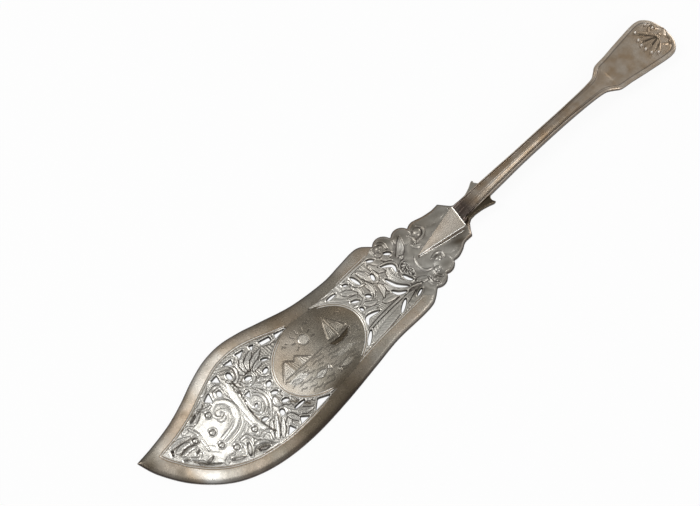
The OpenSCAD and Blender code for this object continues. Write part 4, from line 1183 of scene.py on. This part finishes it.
# ---- The pieces ---------------------------------------------------------------------------------------------------

class MESH_OT_rim(bpy.types.Operator):
    """Shape the crowned rim of the blade"""

    bl_idname = "mesh.fish_rim"
    bl_label = "Rim"

    def execute(self, context):
        s = sizes()
        piece = embossed("rim", OUTLINE, [inside_rim()], s.rim_grid / MM, 0, s.plate / MM, rim_shape)
        belongs(piece, silver("tarnished_rim", tarnished=0.74, rough=0.27, warm=0.6, clouds=70, grain=0.4))
        return {"FINISHED"}


class MESH_OT_rim_threads(bpy.types.Operator):
    """Lay the raised thread lines round the fields and the medallion"""

    bl_idname = "mesh.fish_rim_threads"
    bl_label = "Thread lines"

    def execute(self, context):
        z = sizes().plate / MM + 0.05
        r = sizes().thread / MM
        # Between these ends the medallion's border takes the lines' place
        tip_end, crest_start, belly_start = -103.6, -68, -84.6

        def at(z, line):
            return np.c_[line, np.full(len(line), z)]

        def runs(out, z):
            upper, lower = heel_lines(out)
            tip = tip_line(out)
            tip = tip[beyond_medallion(tip) & ((tip[:, 1] > 0) | (tip[:, 0] < tip_end))]
            upper = upper[upper[:, 0] > crest_start]
            lower = lower[lower[:, 0] > belly_start]
            return [at(z, line) for line in (tip, upper, lower)]

        def arcs(z, *grows):
            ends = [(math.radians(a), math.radians(b)) for a, b in BORDER_ARCS]
            return [at(z, medal_arc(grow, a, b, 80)) for a, b in ends for grow in grows]

        rim = wire("rim_threads", runs(0.5, z), r)
        border = wire("medallion_border", arcs(z + 0.12, -0.25, -1.1), r * 1.1)
        metal = silver("bright_threads", tarnished=0.05, warm=0.3)
        belongs(rim, metal)
        belongs(border, metal)
        dark = wire("thread_grooves", runs(0.02, z - 0.04) + runs(0.92, z - 0.04) + arcs(z + 0.07, -0.68), r * 0.7)
        belongs(dark, silver("dark_grooves", tarnished=1.0, rough=0.5, warm=0.8, base=finish().patina_and_shade))
        return {"FINISHED"}


class MESH_OT_openwork(bpy.types.Operator):
    """Chase the leaves, scrolls and beads of both pierced fields and of the heel"""

    bl_idname = "mesh.fish_openwork"
    bl_label = "Chased openwork"

    def execute(self, context):
        s = sizes()
        relief = blade_relief(s.relief)
        rubbed_and_sheen = silver("rubbed_openwork", tarnished=0.04, rough=0.24, warm=0.2, patina_and_shade=0.8)
        dull = silver("dull_openwork", tarnished=0.47, warm=0.2)
        for name, outline, metal in (("tip_openwork", tip_field(), rubbed_and_sheen), ("heel_openwork", heel_field(), dull)):
            inside = [loop for loop in HOLES if within(loop.mean(0)[None], outline)[0]]
            shape = worked(relief, outline)
            belongs(embossed(name, outline, inside, s.grid / MM, BASE, s.plate / MM, shape), metal)
        return {"FINISHED"}


class MESH_OT_medallion(bpy.types.Operator):
    """Engrave the oval medallion with a small harbour scene"""

    bl_idname = "mesh.fish_medallion"
    bl_label = "Medallion"

    def execute(self, context):
        s = sizes()
        outline = medal_arc(-0.2, 0, TURN, 161)[:-1]
        shape = worked(medallion_relief(), outline, 0.0, rim=True)
        piece = embossed("medallion", outline, [], s.grid / MM, BASE, s.plate / MM, shape)
        metal = silver("engraved_medallion", tarnished=0.8, rough=0.25, patina_and_shade=1.8, clouds=34, grain=0.5)
        belongs(piece, metal)
        return {"FINISHED"}


class MESH_OT_tongue(bpy.types.Operator):
    """Raise the three-sided tongue on the heel"""

    bl_idname = "mesh.fish_tongue"
    bl_label = "Tongue"

    def execute(self, context):
        point, crest_back, belly_back = (-31, -1.3), (-4.3, 4.3), (-6.6, -6.3)
        start, top = 1.75, 4.7
        rings, marks = [], []
        for f in np.linspace(0, 1, 9):
            one = np.add(point, np.subtract(crest_back, point) * f) + (0, 0.08)
            two = np.add(point, np.subtract(belly_back, point) * f) - (0, 0.08)
            z = start + (top - start) * f
            foot = two[1] - 0.9 + 0.25 * f
            ring = [
                (one[0], one[1] + 0.2 + 0.5 * f, 1), (two[0] - 0.7, foot, 1), (two[0] - 0.7, foot, 1.62),
                (two[0] - 0.05, two[1] - 0.06, z - 0.1),
            ]
            # The steep side is darkened with painted shade, the point brown, and the back greyer than the
            # copper-brown middle
            shares = [(0, 0, 0), (0.6, 0, 0), (0.6, 0, 0), (0.6, 0, 0)]
            for k in np.linspace(0, 1, 7):
                across = two + (one - two) * k
                ring.append((*across, z - 0.7 * f * k * (1 - k)))
                copper = np.exp(-((across[0] + 13.5) / 4) ** 2) * np.clip((k - 0.2) * 2.5, 0, 1)
                shares.append((0, 0, 0.4 * (1 - f / 0.3) if f < 0.3 else -0.08 * (1 - copper)))
            rings.append(ring)
            marks.append(shares)
        piece = loft("tongue", rings, 30, marks)
        belongs(piece, silver("polished_tongue", tarnished=0.7, rough=0.24, grain=0.08, warm=1.2, clouds=60))
        # Along the foot of the steep side, along its top, and across the back
        lines = (
            [(-31, -2.1, 1.9), (-18.9, -4.85, 2.02), (-7.4, -7, 2.2)],
            [(-30.8, -1.4, 1.8), (-18.5, -3.85, 3.26), (-6.6, -6.35, 4.7)],
            [(-4.4, 4.3, 4.66), (-4.8, 2.2, 4.62), (-5.4, -0.8, 4.6), (-6, -3.8, 4.62), (-6.5, -6.3, 4.68)],
        )
        edges = wire("tongue_edges", [curve(line, 30) for line in lines], 0.24)
        belongs(edges, silver("rubbed_edges", tarnished=0.0, rough=0.24, warm=0.0, patina_and_shade=0))
        return {"FINISHED"}


def handle_rings():
    """Cross-sections of the handle from the neck to its end, with threads at both edges and a crowned field between.
    With them go the marks of their points: patina in the grooves, painted shade down the sides, underneath and round
    the neck, and stain with a painted highlight streak along the stem."""
    half = curve(HANDLE_HALF, 10)[:-1]
    level = curve(HANDLE_LEVEL, 6)
    # Distance in from the edge, share of the height, and dark: painted shade on the outer sides, patina in the
    # grooves between the threads
    profile = [
        (0.0, 0.50, 0.6), (0.05, 0.72, 0.5), (0.22, 0.93, 0.15), (0.45, 1.0, 0), (0.68, 0.96, 0.1), (0.8, 0.84, 0.9),
        (0.95, 0.84, 0.9), (1.08, 0.95, 0.1), (1.25, 0.98, 0), (1.4, 0.94, 0.2), (1.52, 0.88, 0.7), (1.7, 0.9, 0.1),
    ]
    # The underside is darkened with painted shade
    under = [(0.08, 0.3, 0.5), (0.5, 0.1, 0.3), (1.4, 0.0, 0.2)]
    u = headings(half)
    rings, marks = [], []
    for i, (x, w) in enumerate(half):
        low = np.interp(x, level[:, 0], level[:, 1])
        high = np.interp(x, level[:, 0], level[:, 2])
        tall = high - low
        normal = np.array([u[i][1], -u[i][0]])
        normal *= -np.sign(normal[1])
        squeeze = min(1.0, w / 3.2)
        steep = min(tall, 2.4)
        # The crowned stem turns into the flat fiddle end. The neck is darkened with painted shade, and the stem's
        # crown gets a painted highlight streak
        flat = np.clip((x - 74) / 20, 0, 1)
        painted_neck_shade = 0.95 * np.clip((8.5 - x) / 9, 0, 1)
        rubbed_and_sheen = 0.6 * np.interp(x, (9, 16, 34, 56), (0, 1, 0.8, 0))

        def inward(d):
            p = np.array([x, w]) + normal * d * squeeze * (1 + 0.35 * flat)
            return p[0], max(p[1], 0.02)

        def top_at(px):
            return high + np.interp(px, level[:, 0], level[:, 2]) - np.interp(x, level[:, 0], level[:, 2])

        side = []
        for d, share, dark in profile:
            px, py = inward(d)
            filled = flat if 0.6 < d < 1.1 else 0
            share, dark = share + (0.99 - share) * filled, dark * (1 - filled)
            side.append((px, py, top_at(px) - (1 - share) * steep, dark))
        inner = side[-1]
        rise = 0.17 * inner[1] * (1 - flat) + 0.1 * flat
        field = []
        for k in (0.8, 0.6, 0.45, 0.3, 0.2, 0.1, 0):
            crown = (0.4 + 0.6 * flat) * (1 - k * k) + 0.7 * (1 - flat) * math.exp(-(k / 0.28) ** 2)
            field.append((inner[0], inner[1] * k, inner[2] + rise * crown, 0))
        bottom = [(*inward(d), low + tall * share, dark) for d, share, dark in under]
        run = field[::-1] + side[::-1] + bottom + [(bottom[-1][0], 0, low, 0.2)]
        ring = run + [(a, -b, c, dark) for a, b, c, dark in run[-2:0:-1]]
        rings.append([(a, b, c) for a, b, c, dark in ring])
        for a, b, c, dark in ring:
            painted_highlight_streak = rubbed_and_sheen * np.exp(-((b + 0.12 * w) / (0.12 * w)) ** 2)
            marks.append((dark, painted_neck_shade, 0.15 - 0.3 * flat * (0 < w - abs(b) < 2) - painted_highlight_streak))
    return rings, marks


class MESH_OT_handle(bpy.types.Operator):
    """Draw out the arched stem and its fiddle end, with a thread along each edge"""

    bl_idname = "mesh.fish_handle"
    bl_label = "Handle"

    def execute(self, context):
        rings, marks = handle_rings()
        piece = loft("handle", rings, 80, marks)
        metal = silver("brown_handle", tarnished=0.88, rough=0.24, warm=1.25, clouds=170, patina_and_shade=1.5, grain=0.1)
        belongs(piece, metal)
        return {"FINISHED"}


class MESH_OT_handle_threads(bpy.types.Operator):
    """Draw the bright thread along each edge of the stem"""

    bl_idname = "mesh.fish_handle_threads"
    bl_label = "Stem threads"

    def execute(self, context):
        half, level = curve(HANDLE_HALF, 5)[:-1], curve(HANDLE_LEVEL, 6)
        lines = []
        for side, start, end in ((-1, 1, 76), (1, 13, 70)):
            run = half[(half[:, 0] > start) & (half[:, 0] < end)]
            y = (run[:, 1] - 0.5) * side
            lines.append(np.c_[run[:, 0], y, np.interp(run[:, 0], level[:, 0], level[:, 2]) - 0.06])
        piece = wire("handle_threads", lines, 0.16)
        belongs(piece, silver("rubbed_threads", tarnished=0.45, rough=0.25, warm=0.8, patina_and_shade=0))
        return {"FINISHED"}


class MESH_OT_ears(bpy.types.Operator):
    """Cut the barbed ear on each side of the neck"""

    bl_idname = "mesh.fish_ears"
    bl_label = "Ears"

    def execute(self, context):
        # The crest-side ear's heavy film is painted shade, darkening a flat plate that mirrors the bright room
        for name, side, plan, tarnished, base in (
            ("ear_crest_side", 1, [
                (1.6, 3), (3.2, 4), (5.4, 4.7), (7.8, 5.6), (10.2, 6.9), (11.4, 7), (11.2, 5.7), (12, 4.6), (13, 3),
            ], 0.95, None),
            ("ear_belly_side", -1, [
                (-3.6, 3.4), (-3.6, 5.6), (-1.4, 5.6), (2, 5.8), (5, 6.2), (8, 6.9), (10.6, 7.8), (11.5, 7.7),
                (10.8, 6.2), (11, 4.9), (12.4, 3.6),
            ], -0.2, finish().stain_and_painted_light),
        ):
            loop = rounded(np.array([(x, y * side) for x, y in plan]), 0.12)
            piece = filled_plate(name, loop, [], bottom=3, top=5.3, edge=0.5)
            settle(piece, name, 30)
            belongs(piece, silver("polished_" + name, tarnished, rough=0.2, grain=0.4, base=base))
        return {"FINISHED"}


def shell_relief():
    """A fan of six flutes opening to the handle, with a bead at the end of each and a scroll on either side."""
    relief = Relief((112, -13), (136, 13))
    relief.z[:] = -0.1
    hx, hy = 129, -0.6
    beads = [(121.6, 7.8), (119.5, 3.9), (118.4, 1), (118.3, -1.7), (118.9, -4.9), (121.5, -6.9)]
    for bx, by in beads:
        reach = math.hypot(bx - hx, by - hy)
        a = math.atan2(by - hy, bx - hx)
        line = [polar(hx, hy, r, a) for r in (1.2, reach * 0.5, reach - 1)]
        relief.scroll(line, (0.5, 2.3, 2.2), 0.3, True, 0.05)
    for line, width in (
        ([(127, -0.6), (124, 0.6), (120.6, 1.7)], 0.9), ([(127, -1.2), (124.6, -1.8), (121.7, -2.2)], 0.9),
        ([(127, 0), (125, 2.6), (122.1, 5.8)], 0.9), ([(127.2, -2), (125.4, -3.8), (122.6, -5)], 0.7),
        ([(131.8, -1.8), (131.4, -4.6), (129.6, -6.8), (127.2, -8.1)], 0.8),
        ([(131.8, 0.6), (131.2, 3.6), (129.4, 6)], 0.6),
    ):
        relief.groove(line, width, 0.3)
        relief.stroke(line, width * 1.2, 0.6)
    for line in (
        [(126.4, 3.4), (128.8, 5.4), (131, 4.4), (130.6, 2.4)],
        [(126.6, -5), (129.4, -6.8), (131.6, -5.4), (131, -3)],
    ):
        relief.scroll(line, (0.9, 1.5, 0.8), 0.4)
    # Each bead is raised and brightened; the brightening is rubbed metal and painted highlight
    for bx, by in beads + [(129.8, 4.1), (128.7, 7.6), (130.8, -6.2)]:
        relief.bead(bx, by, 0.8, 1)
        relief.spot(bx, by, 0.9, -0.9)
    relief.bead(hx, hy, 1.2, 0.6)
    return relief


class MESH_OT_shell(bpy.types.Operator):
    """Chase the shell on the handle's end"""

    bl_idname = "mesh.fish_shell"
    bl_label = "Shell"

    def execute(self, context):
        s = sizes()
        loop = oval(124.8, -0.2, 16.4, 19.8, n=60)
        level = curve(HANDLE_LEVEL, 6)
        floor, base = 3.6, 5.2

        def top(plan):
            return np.interp(plan[:, 0], level[:, 0], level[:, 2]) - 0.12 - base

        piece = embossed("shell", loop, [], s.grid / MM, floor, base, worked(shell_relief(), loop, 0.4, top))
        belongs(piece, silver("brown_shell", tarnished=1.1, rough=0.26, warm=1.0, patina_and_shade=1.6, grain=0.4))
        return {"FINISHED"}


class SCENE_OT_stage(bpy.types.Operator):
    """Lay the pale floor and set the lamps, the surroundings and the camera"""

    bl_idname = "scene.fish_stage"
    bl_label = "Stage"

    def execute(self, context):
        scene = bpy.context.scene
        scene.view_settings.view_transform = "Standard"
        bpy.ops.object.select_all(action="DESELECT")
        bpy.ops.mesh.primitive_plane_add(size=8, location=(0, 0, -0.00005))
        floor = bpy.context.object
        bpy.ops.object.transform_apply(location=True, rotation=True, scale=True)
        floor.name = "floor"
        # The floor is matt, and seen by the camera nearly as pale as the background
        material = bpy.data.materials.new("pale_floor")
        node, link = graph(material)
        share = node("Math", operation="MULTIPLY")
        share.inputs[1].default_value = 0.93
        link(node("LightPath").outputs["Is Camera Ray"], share.inputs[0])
        mix = node("MixShader")
        link(share.outputs[0], mix.inputs[0])
        link(node("BsdfDiffuse", Color=(*finish().floor, 1)).outputs[0], mix.inputs[1])
        link(node("Emission", Color=(1, 1, 1, 1), Strength=1.0).outputs[0], mix.inputs[2])
        node("OutputMaterial", Surface=mix.outputs[0])
        floor.data.materials.append(material)

        def stand(name, data, place, aim):
            """Puts a lamp or the camera in its place, turned towards its aim."""
            holder = bpy.data.objects.new(name, data)
            bpy.context.collection.objects.link(holder)
            holder.location = place
            holder.rotation_euler = (Vector(aim) - Vector(place)).to_track_quat("-Z", "Y").to_euler()
            return holder

        for name, place, aim, size, watts in (
            ("tip_lamp", (-0.03, 0.2, 0.68), (-0.155, -0.008, 0), 0.13, 0.17),
            ("stem_lamp", (0.24, -0.01, 0.65), (0.03, 0, 0.008), 0.1, 0.12),
            ("key_lamp", (-0.55, 0.5, 0.75), (-0.08, 0, 0), 0.4, 3),
            ("side_lamp", (-0.05, -0.75, 0.5), (-0.02, 0, 0), 0.3, 1.5),
            ("back_lamp", (0.75, 0.1, 0.35), (0.0, 0, 0), 0.3, 1.2),
        ):
            lamp = bpy.data.lights.new(name, "AREA")
            lamp.shape = "SQUARE"
            lamp.size = size
            lamp.energy = watts
            stand(name, lamp, place, aim)
        # The room is grey, darkest where the blade mirrors it into the camera. The camera itself sees white
        world = bpy.data.worlds.new("studio")
        scene.world = world
        node, link = graph(world)
        dim = node("VectorMath", operation="DOT_PRODUCT")
        dim.inputs[1].default_value = (0.3, 0.28, 0.91)
        link(node("TexCoord").outputs["Generated"], dim.inputs[0])
        ramp = node("ValToRGB", Fac=dim.outputs["Value"])
        ramp.color_ramp.elements[0].color = (0.62, 0.62, 0.63, 1)
        ramp.color_ramp.elements[1].color = (0.34, 0.335, 0.32, 1)
        for position, tone in ((0.4, 0.5), (0.7, 0.34), (0.92, 0.46)):
            ramp.color_ramp.elements.new(position).color = (tone, tone, tone, 1)
        mix = node("MixShader")
        link(node("LightPath").outputs["Is Camera Ray"], mix.inputs[0])
        link(node("Background", Color=ramp.outputs[0], Strength=1.0).outputs[0], mix.inputs[1])
        link(node("Background", Color=(1, 1, 1, 1)).outputs[0], mix.inputs[2])
        node("OutputWorld", Surface=mix.outputs[0])
        camera = bpy.data.cameras.new("camera")
        camera.sensor_width = 36
        camera.lens = 87.78
        camera.clip_start = 0.01
        scene.camera = stand("camera", camera, (-0.28097, -0.21379, 0.6741), (-0.05086, 0.02105, 0))
        return {"FINISHED"}


PIECES = (
    MESH_OT_rim, MESH_OT_rim_threads, MESH_OT_openwork, MESH_OT_medallion, MESH_OT_tongue, MESH_OT_handle,
    MESH_OT_handle_threads, MESH_OT_ears, MESH_OT_shell, SCENE_OT_stage,
)


class VIEW3D_PT_fish_server(bpy.types.Panel):
    """Lists the server's sizes, finishes and pieces"""

    bl_idname = "VIEW3D_PT_fish_server"
    bl_label = "Fish Server"
    bl_space_type = "VIEW_3D"
    bl_region_type = "UI"
    bl_category = "Fish Server"

    def draw(self, context):
        for group in (sizes(), finish()):
            box = self.layout.box()
            for name in group.bl_rna.properties.keys():
                if name not in ("rna_type", "name"):
                    box.prop(group, name)
        for piece in PIECES:
            self.layout.operator(piece.bl_idname)


CLASSES = (ServerSizes, ServerFinish) + PIECES + (VIEW3D_PT_fish_server,)


def register():
    for cls in CLASSES:
        bpy.utils.register_class(cls)
    bpy.types.Scene.fish_server_sizes = bpy.props.PointerProperty(type=ServerSizes)
    bpy.types.Scene.fish_server_finish = bpy.props.PointerProperty(type=ServerFinish)


def unregister():
    del bpy.types.Scene.fish_server_finish
    del bpy.types.Scene.fish_server_sizes
    for cls in reversed(CLASSES):
        bpy.utils.unregister_class(cls)


def main():
    register()
    for piece in PIECES:
        group, name = piece.bl_idname.split(".")
        getattr(getattr(bpy.ops, group), name)()
    bpy.context.view_layer.update()


if __name__ == "__main__":
    main()
